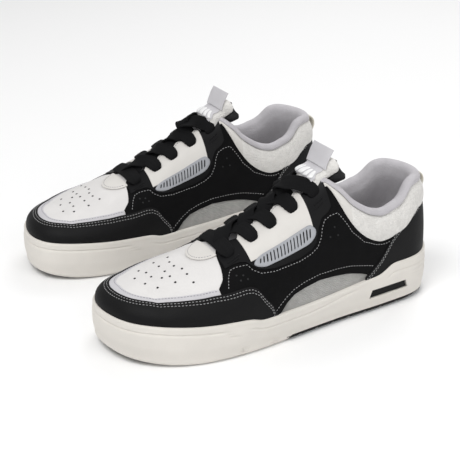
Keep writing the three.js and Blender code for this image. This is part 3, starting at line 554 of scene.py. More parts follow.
# points and normals along a line of (share round, share up), on one side or the other
def seamRow(points, off, side=1, steps=40, shift=0.0):
    places, normals = [], []
    for k in range(steps + 1):
        x = k / steps * (len(points) - 1)
        i = min(len(points) - 2, int(x))
        w = x - i
        s = points[i][0] + (points[i + 1][0] - points[i][0]) * w
        t = points[i][1] + (points[i + 1][1] - points[i][1]) * w
        u = s if side > 0 else 1 - s
        if shift:
            t += climb(u, clamp(t, 0.02, 0.98), shift)
        places.append(skin(u, t, off))
        normals.append(skinNormal(u, max(0.004, t)))
    return places, normals


# sole unit
cup = {"columns": 260, "wallRows": 44, "outsoleFront": 159, "outsoleTop": 4.1, "rim": 7.6, "groove": 6.2,
       "spine": (45, 262)}


def soleBottom(f):
    return cup["outsoleTop"] + (floorAt(f) - cup["outsoleTop"]) * smooth((f - cup["outsoleFront"]) / 2)


def wallInset(f, z, top):
    low = floorAt(f) + 3.4
    if z < low:
        return 1.4
    share = (z - low) / max(0.1, top - 2.4 - low)
    inset = 1.4 - 1.4 * smooth(share * 2.2) + 0.7 * smooth((share - 0.7) / 0.3)
    hook = top - cup["groove"] - 5.5 * smooth((222 - f) / 10)
    rear = top - cup["groove"] - 1 + 3 * smooth((150 - f) / 60)
    lines = [(hook, smooth((f - 209) / 4), 0.8),
             (rear, smooth((f - 86) / 14) * smooth((200 - f) / 5), 0.7)]
    for drop, reach in ((8, 62), (12.5, 34), (16.5, 26)):
        lines.append((top - drop - 0.02 * (40 - f), smooth((reach - f) / 8), 0.7))
    for height, there, depth in lines:
        inset += depth * there * math.exp(-((z - height) / 0.7) ** 2)
    for notch in (176, 205):
        inset += 1.6 * math.exp(-((f - notch) / 2.2) ** 2) * smooth((9 - z) / 3)
    return inset


# the columns of the two sides meet along the spine at different places
def closeSpine(piece):
    onlySelect(piece)
    bpy.ops.object.mode_set(mode="EDIT")
    bpy.ops.mesh.select_all(action="SELECT")
    bpy.ops.mesh.fill_holes(sides=0)
    bpy.ops.object.mode_set(mode="OBJECT")


def makeMidsole():
    rows = cup["wallRows"]
    total = rows + 12

    def place(a, b):
        u = a
        k = round(b * total)
        f0 = outline(u, 0)[0]
        top = featherAt(f0)
        spineF = clamp(f0, *cup["spine"])
        spineL = ridgeLine(spineF)
        if k == 0:
            return spineF, spineL, soleBottom(f0)
        if k == 1:
            f, l = outline(u, 12)
            return f, l, soleBottom(f0)
        if k == 2:
            f, l = outline(u, 4.5)
            return f, l, soleBottom(f0)
        if k == 3:
            f, l = outline(u, 2.6)
            return f, l, max(soleBottom(f0), floorAt(f0) + 1.2)
        if k <= 3 + rows:
            share = (k - 4) / (rows - 1)
            low = max(soleBottom(f0) + 0.5, floorAt(f0) + 3.0)
            z = low + (top - 2.0 - low) * share
            f, l = outline(u, wallInset(f0, z, top))
            return f, l, z
        rest = k - 3 - rows
        if rest < 6:
            inset = {1: 0.85, 2: 1.15, 3: 1.8, 4: 2.9, 5: last["ledge"] + cup["rim"]}[rest]
            drop = {1: -1.2, 2: -0.5, 3: -0.1, 4: 0, 5: 0}[rest]
            f, l = outline(u, inset)
            return f, l, top + drop
        bed = curve(last["bed"], f0 / last["length"])
        if rest == 6:
            f, l = outline(u, last["ledge"] + cup["rim"] + 0.4)
            return f, l, bed
        if rest == 7:
            f, l = outline(u, 14)
            return f, l, bed
        if rest == 8:
            f, l = outline(u, 20)
            return f, l, bed
        return spineF, spineL, bed

    piece = layGrid("midsole", cup["columns"], total, place)
    tidyMesh(piece)
    closeSpine(piece)
    cutWindows(piece)
    smoothShade(piece, 35)
    return bothShoes(piece, creamRubber, ("midsole",))


window = {"heel": 35.6, "length": 42.5, "low": 13.6, "height": 7.2, "lean": 2.8, "depth": 4}


# where along the outline, on one side, the sole is f from the heel
def wallColumn(f, side):
    a, b = 0.0, 0.45
    for _ in range(30):
        m = (a + b) / 2
        if planPoint(m if side > 0 else 1 - m)[0] < f:
            a = m
        else:
            b = m
    return a if side > 0 else 1 - a


def cutWindows(piece):
    for side in (1, -1):
        def place(a, b):
            i, k = round(a * 12), round(b * 4) % 4
            up = 0.5 if i in (0, 12) else 1 if k in (1, 2) else 0
            inset = 0.5 if i in (0, 12) else -3 if k in (0, 1) else window["depth"]
            lean = window["lean"] * up
            f = window["heel"] + lean + (window["length"] - 2 * lean) * clamp((i - 1) / 10, 0, 1)
            pf, pl = outline(wallColumn(f, side), inset)
            return pf, pl, window["low"] + window["height"] * up
        tool = layGrid("windowTool", 12, 4, place)
        tidyMesh(tool)
        cut = piece.modifiers.new("window", "BOOLEAN")
        cut.operation = "DIFFERENCE"
        cut.solver = "EXACT"
        cut.object = tool
        applyAll(piece)
        bpy.data.objects.remove(tool)


makeMidsole()
print("sole ready")


# the upper, laid in layers: each seam has its lower panel running on underneath
upper = {"vampOff": -0.2, "trimOff": 0.35, "quarterOff": 0.3, "mudguardOff": 0.95, "frameOff": 1.0,
         "stayOff": 1.25, "patchOff": 1.1, "meshOff": -0.5, "wall": 1.4}


def vampBackAt(s):
    return line(seams["vampBack"], s)


def makeVamp():
    piece = layPanel("vamp", (0.296, 0.704), lambda s: line(seams["trim"], max(s, 0.329)) - 0.07,
                     lambda s: 1.0 if s > 0.309 else 0.9, upper["vampOff"], upper["wall"], 120, 26, ease=0)
    return bothShoes(piece, whiteLeather, ("vamp",))


def makeTrim():
    piece = layPanel("toeTrim", (0.3295, 0.6705), lambda s: line(seams["mudguard"], max(0.329, s)) - 0.05,
                     lambda s: line(seams["trim"], s), upper["trimOff"], 0.9, 150, 6)
    return bothShoes(piece, lilacTape, ("toe_trim",))


def makeMudguard():
    piece = layPanel("mudguard", (0.2695, 0.7305), lambda s: -0.02, lambda s: curve(seams["mudguard"], s),
                     upper["mudguardOff"], 1.3, 190, 14, ease=0.45)
    return bothShoes(piece, blackLeather, ("mudguard",))


def quarterLow(s):
    if s < 0.165:
        return max(-0.02, line(seams["patch"], s) - 0.05)
    if s < 0.27:
        return line(seams["mesh"], s)
    return max(0, line(seams["mudguard"], s) - 0.07)


def quarterHigh(s):
    if s <= 0.199:
        return line(seams["collarLow"], s) + 0.012
    if s < 0.205:
        return line([(0.199, 0.595), (0.205, 0.79)], s)
    if s <= 0.31:
        return line(seams["throat"], s)
    return vampBackAt(s)


def makeQuarter(side, name):
    us = (0.094, 0.3287) if side > 0 else (0.9060, 0.6713)
    piece = layPanel(name, us, quarterLow, lambda s: max(quarterHigh(s), quarterLow(s) + 0.004),
                     upper["quarterOff"], upper["wall"], 120, 34, ease=0.4)
    node = "quarter_lateral" if side > 0 else "quarter_medial"
    return bothShoes(piece, blackNubuck, (node,))


# the smooth frame over the quarter, which carries both ends of the lacing
frameShape = {
    "low": [(0.2055, 0.55), (0.209, 0.53), (0.2165, 0.525), (0.2215, 0.47), (0.2265, 0.385), (0.232, 0.362),
            (0.245, 0.352), (0.258, 0.366), (0.271, 0.392), (0.279, 0.425), (0.285, 0.46), (0.290, 0.52),
            (0.294, 0.585), (0.299, 0.615), (0.3065, 0.63), (0.314, 0.63)],
}


def frameHigh(s):
    if s < 0.2265:
        return min(line([(0.2055, 0.795), (0.209, 0.835), (0.2165, 0.85), (0.2265, 0.83)], s), 0.86)
    if s > 0.289:
        return line([(0.289, 0.87), (0.296, 0.9), (0.3045, 0.9), (0.3095, 0.88), (0.3135, 0.79),
                     (0.3143, 0.72)], s)
    return 0.62


def makeFrame(side, name):
    us = (0.2055, 0.3140) if side > 0 else (1 - 0.2055, 1 - 0.3140)
    piece = layPanel(name, us, lambda s: line(frameShape["low"], s),
                     lambda s: max(frameHigh(s), line(frameShape["low"], s) + 0.01),
                     upper["frameOff"], 1.0, 110, 22, ease=0.5)
    return bothShoes(piece, blackFrame)


rows = {"s": [0.304, 0.279, 0.26, 0.2385, 0.2165]}


def rowIndex(s):
    return line([(at, 4 - i) for i, at in enumerate(reversed(rows["s"]))], s)


def stayHigh(s):
    ends = smooth((s - 0.2262) / 0.004) * smooth((0.2898 - s) / 0.004)
    lobes = 0.895 - 0.035 * math.cos(2 * math.pi * rowIndex(s))
    return lobes - 0.06 * (1 - ends)


def makeStay(side, name):
    us = (0.2262, 0.2898) if side > 0 else (1 - 0.2262, 1 - 0.2898)
    piece = layPanel(name, us, lambda s: line([(0.2262, 0.5), (0.2898, 0.56)], s), stayHigh,
                     lambda u, t, b: upper["stayOff"] + 0.2 * smooth((t - 0.5) / 0.2), 1.2, 84, 26, ease=0.5)
    node = "eyestay_lateral" if side > 0 else "eyestay_medial"
    return bothShoes(piece, smoothLeather, (node,))


# the moulded grey badge, a crowned lozenge with sixteen dark slots
badge = {
    "middle": (0.2565, 0.487), "off": 1.2, "slots": 16,
    "section": [(0, -0.8), (0.97, -0.8), (1, -0.5), (1, 0), (0.99, 0.5), (0.965, 0.85), (0.93, 1.05),
                (0.86, 0.95), (0.8, 0.95), (0.6, 1.1), (0.4, 1.25), (0.2, 1.3), (0, 1.3)],
    "edge": [(0.287, 0.538), (0.2835, 0.558), (0.278, 0.566), (0.268, 0.560), (0.256, 0.552), (0.244, 0.549),
             (0.234, 0.547), (0.229, 0.538), (0.2262, 0.51), (0.2245, 0.476), (0.2255, 0.445), (0.229, 0.422),
             (0.2345, 0.410), (0.244, 0.412), (0.254, 0.418), (0.262, 0.425), (0.270, 0.434), (0.277, 0.442),
             (0.282, 0.462), (0.286, 0.49), (0.2878, 0.516)],
}


def makeBadge(side, name):
    total = 12

    def place(a, b):
        k = round(b * total)
        es, et = roundLine(badge["edge"], a)
        ms, mt = badge["middle"]
        reach, rise = badge["section"][k]
        off = badge["off"] + rise
        s, t = ms + (es - ms) * reach, mt + (et - mt) * reach
        return skin(s if side > 0 else 1 - s, t, off)

    piece = layGrid(name, 72, total, place)
    closeShell(piece)
    node = "badge_lateral" if side > 0 else "badge_medial"
    bothShoes(piece, greyMoulding, (node,))
    points = []
    for i in range(badge["slots"]):
        share = (i + 0.5) / badge["slots"]
        s = 0.2295 + (0.2835 - 0.2295) * share
        low = line([(0.229, 0.448), (0.24, 0.432), (0.256, 0.437), (0.27, 0.452), (0.284, 0.505)], s)
        high = line([(0.229, 0.505), (0.235, 0.527), (0.256, 0.533), (0.275, 0.545), (0.284, 0.535)], s)
        points.append((s, low, high))
    bars = []
    for i, (s, low, high) in enumerate(points):
        lean = 0.0018

        def place(a, b, s=s, low=low, high=high):
            t = low + (high - low) * a
            at = s + lean * (0.5 - a)
            ring = b * 2 * math.pi
            u = at if side > 0 else 1 - at
            end = math.sqrt(max(0, 1 - abs(2 * a - 1) ** 6))
            across = 0.42 * end * math.cos(ring) / 620
            reach = ((s - badge["middle"][0]) / 0.03) ** 2
            lift = badge["off"] + 1.12 - 0.12 * reach + 0.28 * end * math.sin(ring)
            return skin(u + across * (1 if side > 0 else -1), t, lift)

        bar = layGrid("slotBar", 8, 8, place)
        tidyMesh(bar)
        bars.append(bar)
    slots = joinPieces(name + "Slots", bars)
    smoothShade(slots, 60)
    bothShoes(slots, blackFrame)


# the mesh runs on under the quarter
def meshHigh(s):
    edge = line(seams["mesh"], s)
    return edge + 0.06 * smooth(edge / 0.05)


def makeMesh(side, name):
    us = (0.166, 0.2705) if side > 0 else (1 - 0.166, 1 - 0.2705)
    piece = layPanel(name, us, lambda s: -0.01, meshHigh, upper["meshOff"], 1.2, 70, 12, ease=0)
    node = "mesh_lateral" if side > 0 else "mesh_medial"
    return bothShoes(piece, greyKnit, (node,))


def makeHeelPatch():
    piece = layPanel("heelPatch", (-0.1735, 0.1735), lambda s: -0.02,
                     lambda s: max(0.001, curve(seams["patch"], s)), upper["patchOff"], 1.4, 130, 14,
                     ease=0.45)
    return bothShoes(piece, blackLeather, ("heel_patch",))


for build in (makeVamp, makeTrim, makeMudguard, makeHeelPatch):
    build()
for side, tail in ((1, "Outer"), (-1, "Inner")):
    makeQuarter(side, "quarter" + tail)
    makeFrame(side, "laceFrame" + tail)
    makeStay(side, "eyestay" + tail)
    makeBadge(side, "badge" + tail)
    makeMesh(side, "mesh" + tail)
print("panels ready")


# collar: padded terry band, smooth wedge at the front, lining rolled over the top
collar = {"bulge": 3.2, "thick": 5.2, "split": 0.1875, "end": 0.2065}


def padding(s):
    return line([(0, 1), (0.163, 1), (0.187, 0.75), (0.205, 0.45)], s)


def collarHigh(s):
    return curve(seams["topline"], s) if s < 0.204 else line([(0.204, 0.775), (0.2065, 0.8)], s)


def collarBand(name, u0, u1, columns, material, nodes):
    total = 20

    def place(a, b):
        u = u0 + (u1 - u0) * a
        s = fromHeel(u)
        low, high = max(0.02, curve(seams["collarLow"], min(s, 0.204)) - 0.03), collarHigh(s)
        high = max(high, low + 0.04)
        k = round(b * total) % total
        puff = padding(s)
        if k <= 12:
            share = k / 12
            t = low + (high - low) * share
            rise = math.sin(math.pi * clamp(share * 1.02, 0, 1)) ** 0.55 if 0 < share < 1 else 0
            off = -0.6 + (collar["bulge"] + 0.6) * puff * rise * (0.85 + 0.15 * share) - 0.6 * share ** 6
        else:
            share = 1 - (k - 12) / 8
            t = low + (high - low) * share
            off = -1.6 - (collar["thick"] - 2.2) * puff * math.sin(math.pi * clamp(share, 0, 1)) ** 0.6
        return skin(u, t, off)

    piece = layGrid(name, columns, total, place)
    tidyMesh(piece, outward=False)
    closeEnds(piece)
    closeShell(piece)
    return bothShoes(piece, material, nodes)


def makeLining():
    def place(a, b):
        u = -collar["end"] + 2 * collar["end"] * a
        s = fromHeel(u)
        high = collarHigh(s)
        puff = padding(s)
        step = climb(u, min(high, 0.9), 1.0)
        inside = -collar["thick"] * puff - 0.6
        roll = 1 - 0.6 * smooth((s - 0.085) / 0.03)
        track = [(high - 2.2 * roll * step, 0.9 * puff), (high - 0.6 * roll * step, 1.35 * puff),
                 (high + 1.0 * step, 1.2 * puff),
                 (high + 2.4 * step, 0.3), (high + 3.0 * step, -1.4 * puff), (high + 2.8 * step, -3.2 * puff),
                 (high + 1.2 * step, inside * 0.92), (high - 2.5 * step, inside - 1.2 * puff),
                 (high * 0.85, inside - 2.6 * puff), (high * 0.68, inside - 2.7 * puff),
                 (high * 0.5, inside - 1.9 * puff), (high * 0.34, inside - 0.9), (high * 0.2, -6.3),
                 (0.06, -6.1), (0.0, -6.1)]
        x = b * (len(track) - 1)
        i = min(len(track) - 2, int(x))
        near = [track[clamp(i + k, 0, len(track) - 1)] for k in (-1, 0, 1, 2)]
        t, off = between(*near, x - i)
        return skin(u, clamp(t, 0, 0.97), off)

    piece = layGrid("collarLining", 150, 56, place)
    tidyMesh(piece, outward=False)
    solidify = piece.modifiers.new("wall", "SOLIDIFY")
    solidify.thickness = 0.0012
    solidify.offset = -1
    applyAll(piece)
    smoothShade(piece, 60)
    return bothShoes(piece, liningMesh, ("collar_lining",))


collarBand("collar", -collar["split"], collar["split"], 150, whiteTerry, ("collar",))
collarBand("collarWedgeOuter", collar["split"], collar["end"], 14, smoothLeather, ())
collarBand("collarWedgeInner", 1 - collar["split"], 1 - collar["end"], 14, smoothLeather, ())
makeLining()
print("collar ready")


# tongue: under the laces it follows the upper, above them it arches free
tongue = {
    "path": [(0.707, 0.86, -1.4), (0.65, 0.8, -1), (0.593, 0.72, -0.2), (0.533, 0.66, 0), (0.473, 0.62, 0),
             (0.427, 0.6, 0), (0.39, 0.6, 0.4), (0.37, 0.6, 1), (0.35, 0.6, 1)],
    "top": [(5.6, 122, 108.5, 13, 11), (6, 117.6, 112.4, 12.6, 12), (6.3, 114.9, 116, 12, 14),
            (6.6, 112.5, 119.6, 13.9, 16.5), (7.2, 108.8, 125.4, 17.8, 18), (7.6, 106.2, 129.6, 20.5, 18.5),
            (8, 103.6, 133.9, 20.5, 16)],
    "end": 8, "wing": 5.5, "corner": 15, "thick": 7.5, "square": 3, "puff": 7.5,
}


def tongueValue(k, v):
    return curve([(i, row[k]) for i, row in enumerate(tongue["path"])], v)


def topValue(k, v):
    return curve([(row[0], row[k]) for row in tongue["top"]], v)


def tongueBase(v, x, deep):
    size = abs(x)
    s = wallColumn(tongueValue(0, clamp(v, 0, tongue["end"])) * 300, 1)
    w = smooth((size - 0.03) / 0.27)
    crown = tongueValue(2, clamp(v, 0, tongue["end"])) * (1 - smooth((size - 0.28) / 0.22))
    off = -1.2 - (tongue["wing"] - 1.2) * w + crown
    t = 1 - size * (1 - tongueValue(1, v))
    return skin(s if x >= 0 else 1 - s, t, off - deep)


def archFace(v, x):
    size = abs(x)
    over = max(0, v - tongue["end"]) * 14
    corner = max(0, v - 6.6) / 1.4 * tongue["corner"] * max(0, size - 0.35) ** 2
    at = clamp(v, 5.6, tongue["end"])
    df, dz = topValue(1, at + 0.1) - topValue(1, at - 0.3), topValue(2, at + 0.1) - topValue(2, at - 0.3)
    run = math.hypot(df, dz)
    a = min(1, size) * math.pi / 2
    half = topValue(3, at) * math.sin(a) ** (2 / tongue["square"])
    fall = topValue(4, at) * (1 - max(0, math.cos(a)) ** (2 / tongue["square"]))
    centre = ridgeLine(topValue(1, at))
    return Vector((topValue(1, at) + (df * (over - corner) - dz * fall) / run,
                   centre + math.copysign(half, x),
                   topValue(2, at) + (dz * (over - corner) + df * fall) / run))


def tongueArch(v, x, deep):
    across = archFace(v, min(1, x + 0.05)) - archFace(v, max(-1, x - 0.05))
    up = archFace(v + 0.04, x) - archFace(v - 0.04, x)
    return archFace(v, x) + up.cross(across).normalized() * deep


def tonguePoint(v, x, deep):
    w = smooth((v - 5.5) / 0.8)
    if w == 0:
        return tongueBase(v, x, deep)
    if w == 1:
        return tongueArch(v, x, deep)
    return tongueBase(v, x, deep).lerp(tongueArch(v, x, deep), w)


def tonguePad(v, x):
    return tongue["thick"] * (0.55 + 0.45 * clamp(v / 2, 0, 1)) * (1 - 0.45 * abs(x) ** 3)


def forward(v, x):
    return tongue["puff"] * smooth((v - 5.2) / 0.7) * (1 - smooth((v - 6.25) / 0.9)) * (1 - 0.8 * x * x)


def makeTongue():
    total = 56

    def place(a, b):
        v = tongue["end"] * (1 - (1 - a) ** 1.25)
        k = round(b * total) % total
        front = k <= total / 2
        x = -math.cos(math.pi * k / (total / 2)) if front else -math.cos(math.pi * (total - k) / (total / 2))
        edge = math.sqrt(max(0, 1 - abs(x) ** 5)) * min(1, math.sqrt(max(0, (tongue["end"] - v) / 0.28)))
        pad = tonguePad(v, x)
        middle = pad * 0.5
        deep = middle - edge * (middle + 0.25 + forward(v, x)) if front else middle + edge * middle
        return tonguePoint(v, x * (1 - 0.2 * smooth((v - 5.8) / 0.9)), deep)

    piece = layGrid("tongue", 84, total, place)
    tidyMesh(piece, distance=0.00008)
    closeEnds(piece)
    closeShell(piece)
    return bothShoes(piece, whiteTerry, ("tongue",), "tongue_flap")


def tongueSheet(name, vs, reach, deepAt, wall, columns, rows, body, material, nodes, ease=0.3):
    def place(a, b):
        v = vs[0] + (vs[1] - vs[0]) * a
        x = (-1 + 2 * b) * (reach(v) if callable(reach) else reach)
        return tonguePoint(v, x, deepAt(v, x))

    piece = layGrid(name, columns, rows, place)
    tidyMesh(piece, outward=False)
    total = sum(face.normal.dot(Vector((0, -0.7, 0.7))) * face.area for face in piece.data.polygons)
    if total < 0:
        piece.data.flip_normals()
    giveWall(piece, wall, 1, ease)
    return bothShoes(piece, material, nodes, body)


def tongueShare(v, width):
    middle = tonguePoint(v, 0, 0).y
    a, b = 0.0, 1.0
    for _ in range(14):
        m = (a + b) / 2
        if tonguePoint(v, m, 0).y - middle < width / 2:
            a = m
        else:
            b = m
    return a


shares = {}


def wideAt(width):
    def reach(v):
        key = (round(min(v, 8), 3), width)
        if key not in shares:
            shares[key] = tongueShare(min(v, 8), width)
        return shares[key]
    return reach


makeTongue()
# the lining comes forward at its edges, where it shows beside the terry
def liningDeep(v, x):
    edge = smooth((v - 6) / 0.8) * smooth((abs(x) - 0.72) / 0.22)
    return (tonguePad(v, x) + 1.7) * (1 - 0.8 * edge)


def tabDeep(v, x):
    return -0.75 - 0.5 * smooth((v - 7.5) / 0.6) - forward(v, x)


tongueSheet("tongueLining", (0.05, 7.97), lambda v: 1.0, liningDeep, 1.5, 80, 40,
            "tongue_flap", blackLiningAndHoleShade, ("tongue_lining",))
tongueSheet("pullTab", (7.15, 8.44), wideAt(27), tabDeep, 1.1, 28, 16,
            "pull_tab", lilacTape, ("tongue_tab",))
print("tongue ready")


# the label between the top lace and the tab: a pale base under slanted glossy bars
def makeLabel():
    glossy = newFinish("glossyLabel", (0.78, 0.78, 0.78), 0.3, 0.02, 40,
                       (("noise", 300, 0.1, 0.2),), coat=0.15)
    widths = wideAt(18)

    def baseReach(v):
        return min(1, widths(v) * (1 + 0.5 * smooth((v - 6.55) / 0.5)))

    tongueSheet("labelBase", (5.95, 7.12), baseReach, lambda v, x: -0.4 - forward(v, x), 0.5, 12, 16,
                "tongue_flap", lilacTape, ())
    bars = []
    for i in range(5):
        def place(a, b, i=i):
            angle = 2 * math.pi * (round(b * 12) % 12) / 12
            end = math.sqrt(max(0, 1 - abs(2 * a - 1) ** 6))
            v = 6.06 + 0.74 * a
            centre = -0.8 + 0.36 * i + 0.2 * a
            return tonguePoint(v, (centre + 0.135 * end * math.cos(angle)) * widths(v),
                               -1.1 - 0.55 * end * math.sin(angle) - forward(v, centre * widths(v)))
        bar = layGrid("labelBar", 10, 12, place)
        tidyMesh(bar)
        bars.append(bar)
    piece = joinPieces("tongueLabel", bars)
    smoothShade(piece, 60)
    tongueSheet("tongueStrip", (0.6, 5.3), wideAt(13), lambda v, x: -0.75 - forward(v, x), 0.4, 50, 6,
                "tongue_flap", lilacTape, ())
    return bothShoes(piece, glossy, ("tongue_label",), "tongue_flap")


makeLabel()


# lace: one flat ribbed band threaded through the five rows
lace = {"width": 12.6, "thick": 2.3, "neck": 5, "lift": 2.9, "under": -2.6, "high": 6.0, "low": 3.2,
        "steps": 9}


def lacePoint(side, s, t, off, neck=0.0):
    return skin(s if side > 0 else 1 - s, t, off), neck


def laceStrand(side, row, height):
    first, second = rows["s"][row], rows["s"][row + 1]
    top = lace["lift"]
    lead, rise = (0.008, 5.0) if row == 3 else (0, 0)
    return [lacePoint(side, first, 0.8, lace["under"]), lacePoint(side, first - 0.001, 0.875, lace["under"]),
            lacePoint(side, first - 0.003, 0.94, height - 3.2),
            lacePoint(side, (first + second) / 2 + lead, 1, height + rise),
            lacePoint(-side, second + 0.003 + lead * 0.7, 0.93, top + 0.9 + rise),
            lacePoint(-side, second + 0.0005 + lead * 0.2, 0.85, top + 0.1 + rise * 0.3)
            ] + laceEnd(-side, second)


# over the edge of the stay and down into the hole
def laceEnd(side, row):
    top = lace["lift"]
    return [lacePoint(side, row, 0.79, top, 0.1), lacePoint(side, row, 0.752, top - 0.6, 0.42),
            lacePoint(side, row, 0.733, 0.6, 0.85), lacePoint(side, row, 0.742, lace["under"], 1)]


def laceRoute():
    front, top = rows["s"][0], lace["lift"]
    bar = laceEnd(-1, front)[::-1]
    bar += [lacePoint(-1, front, 0.87, top), lacePoint(-1, front, 1, top + 0.1), lacePoint(1, front, 0.87, top)]
    bar += laceEnd(1, front)
    first, second = [], []
    for row in range(4):
        side = 1 if row % 2 == 0 else -1
        for strand, way in ((first, side), (second, -side)):
            over = lace["high"] if (way < 0) == (row == 3) else lace["low"]
            strand.extend(laceStrand(way, row, over))
    return second[::-1] + bar + first


def along(points, i, w):
    p = [points[clamp(i + k, 0, len(points) - 1)] for k in (-1, 0, 1, 2)]
    knots = [0]
    for a, b in zip(p, p[1:]):
        knots.append(knots[-1] + max(1e-4, math.sqrt((b - a).length)))
    x = knots[1] + (knots[2] - knots[1]) * w

    def mix(a, b, ka, kb):
        return a * ((kb - x) / (kb - ka)) + b * ((x - ka) / (kb - ka))

    a1, a2, a3 = (mix(p[k], p[k + 1], knots[k], knots[k + 1]) for k in (0, 1, 2))
    b1, b2 = mix(a1, a2, knots[0], knots[2]), mix(a2, a3, knots[1], knots[3])
    return mix(b1, b2, knots[1], knots[2])


def makeLace():
    route = laceRoute()
    points = [p for p, _ in route]
    spots = []
    for i in range(len(points) - 1):
        for k in range(lace["steps"]):
            w = k / lace["steps"]
            spots.append((along(points, i, w), route[i][1] + (route[i + 1][1] - route[i][1]) * smooth(w)))
    spots.append((points[-1], route[-1][1]))
    ridge = Vector((-0.9, 0, 0.43)).normalized()
    frames = []
    for i, (p, neck) in enumerate(spots):
        way = (spots[min(i + 1, len(spots) - 1)][0] - spots[max(i - 1, 0)][0]).normalized()
        wide = (ridge - way * ridge.dot(way)).normalized()
        frames.append((p, wide, way.cross(wide), neck))
    ring = 40

    def place(a, b):
        p, wide, thick, neck = frames[round(a * (len(frames) - 1))]
        k = round(b * ring) % ring
        angle = 2 * math.pi * k / ring
        c, s = math.cos(angle), math.sin(angle)
        x = math.copysign(abs(c) ** 0.75, c)
        z = math.copysign(abs(s) ** 0.45, s)
        width = lace["width"] + (lace["neck"] - lace["width"]) * neck
        height = lace["thick"] * (1 + 0.13 * math.cos(x * math.pi * 7))
        return p + wide * (x * width / 2) + thick * (z * height / 2)

    piece = layGrid("lace", len(frames) - 1, ring, place)
    tidyMesh(piece, outward=False)
    closeEnds(piece)
    closeShell(piece)
    return bothShoes(piece, blackLace, ("lace",))


makeLace()
print("lace ready")


# webbing loop at the heel
loop = {"width": 12, "thick": 1.5,
        "path": [(0.385, -0.2), (0.376, 1.9), (0.358, 4.9), (0.33, 7.6), (0.3, 7.8),
                                             (0.272, 5.6), (0.255, 3.2), (0.235, 2.0), (0.2, 1.6)]}


def makeHeelLoop():
    spots = []
    points = [skin(0, t, off) for t, off in loop["path"]]
    for i in range(len(points) - 1):
        for k in range(6):
            spots.append(along(points, i, k / 6))
    spots.append(points[-1])

    def place(a, b):
        i = round(a * (len(spots) - 1))
        way = (spots[min(i + 1, len(spots) - 1)] - spots[max(i - 1, 0)]).normalized()
        angle = 2 * math.pi * (round(b * 24) % 24) / 24
        c, s = math.cos(angle), math.sin(angle)
        x, z = math.copysign(abs(c) ** 0.6, c), math.copysign(abs(s) ** 0.5, s)
        up = way.cross(Vector((0, 1, 0))).normalized()
        return spots[i] + Vector((0, x * loop["width"] / 2, 0)) + up * (z * loop["thick"] / 2)

    piece = layGrid("heelLoop", len(spots) - 1, 24, place)
    tidyMesh(piece, outward=False)
    closeEnds(piece)
    closeShell(piece)
    return bothShoes(piece, creamWebbing, ("heel_loop",))


makeHeelLoop()


# small trim on the vamp: punched holes, drawn as dark discs of painted shade, and the half-round flap under the
# lowest lace
vampHoles = [(264, 4), (258, 16), (244, 20), (232, 28), (251, 8), (233, 17), (234, 9), (236, 1), (255, 0),
             (244, 10), (245, 1), (246, -9), (265, -10), (255, -9), (236, -8), (234, -17), (245, -19), (258, -18)]


# the place on the upper above a point of the plan
def above(f, l):
    best = None
    for side in (1, -1):
        for i in range(46):
            u = 0.32 + 0.18 * i / 45
            u = u if side > 0 else 1 - u
            for k in range(30):
                t = 0.6 + 0.4 * k / 29
                p = bare(u, t)
                miss = (p.x - f) ** 2 + (p.y - l) ** 2
                if best is None or miss < best[0]:
                    best = (miss, u, t)
    return best[1], best[2]


quarterHoles = [(0.3075, 0.505), (0.3015, 0.475), (0.3055, 0.435), (0.2985, 0.42), (0.2055, 0.40),
                (0.211, 0.36), (0.203, 0.335)]


def punch(u, t, off, radius):
    p, normal = skin(u, t, off + 0.03), skinNormal(u, t)
    bpy.ops.object.select_all(action="DESELECT")
    bpy.ops.mesh.primitive_cylinder_add(vertices=14, radius=radius / 1000, depth=0.0004)
    dot = bpy.context.object
    world = Vector((normal.y, -normal.x, normal.z)).normalized()
    dot.data.transform(world.to_track_quat("Z", "Y").to_matrix().to_4x4())
    dot.data.transform(Matrix.Translation(metres(p)))
    return dot


# the holes on the vamp and the quarters are dark discs laid on the surface: painted shade standing for the shade
# inside each punched hole
def makeVampHoles():
    dots = [punch(*above(f, l), upper["vampOff"], 0.95) for f, l in vampHoles]
    for side in (1, -1):
        dots.extend(punch(s if side > 0 else 1 - s, t, upper["quarterOff"], 0.8) for s, t in quarterHoles)
    piece = joinPieces("vampHoles", dots)
    smoothShade(piece, 40)
    return bothShoes(piece, blackLiningAndHoleShade)


def makeFlap():
    centre, radius = (206, -1.6), 16.5

    def place(a, b):
        angle = math.pi * a
        f = centre[0] + radius * b * math.sin(angle) * 1.05
        l = centre[1] + radius * b * math.cos(angle)
        u, t = flapSpot(f, l)
        return skin(u, t, upper["vampOff"] + 1.3)

    piece = layGrid("throatFlap", 30, 8, place)
    tidyMesh(piece, outward=False)
    outwards(piece)
    giveWall(piece, 1.0, -1, 0.4)
    bothShoes(piece, smoothLeather)
    points, normals = [], []
    for k in range(25):
        angle = math.pi * (0.06 + 0.88 * k / 24)
        f = centre[0] + (radius - 2) * math.sin(angle) * 1.05
        u, t = flapSpot(f, centre[1] + (radius - 2) * math.cos(angle))
        points.append(skin(u, t, upper["vampOff"] + 1.35))
        normals.append(skinNormal(u, t))
    layStitches("flapStitches", [(points, normals)], greyThread, pitch=2.2, radius=0.26)


# the place on the upper above a point near the ridge, found by halving
def flapSpot(f, l):
    side = 1 if l >= ridgeLine(f) else -1
    u0, u1 = 0.29, 0.5
    t = 0.95
    for _ in range(12):
        for _ in range(18):
            m = (u0 + u1) / 2
            if bare(m if side > 0 else 1 - m, t).x < f:
                u0 = m
            else:
                u1 = m
        u = (u0 + u1) / 2
        t0, t1 = 0.5, 1.0
        for _ in range(18):
            m = (t0 + t1) / 2
            if bare(u if side > 0 else 1 - u, m).y * side > l * side:
                t0 = m
            else:
                t1 = m
        t = (t0 + t1) / 2
        u0, u1 = max(0.27, u - 0.05), min(0.5, u + 0.05)
    return (u if side > 0 else 1 - u), t


makeVampHoles()
makeFlap()


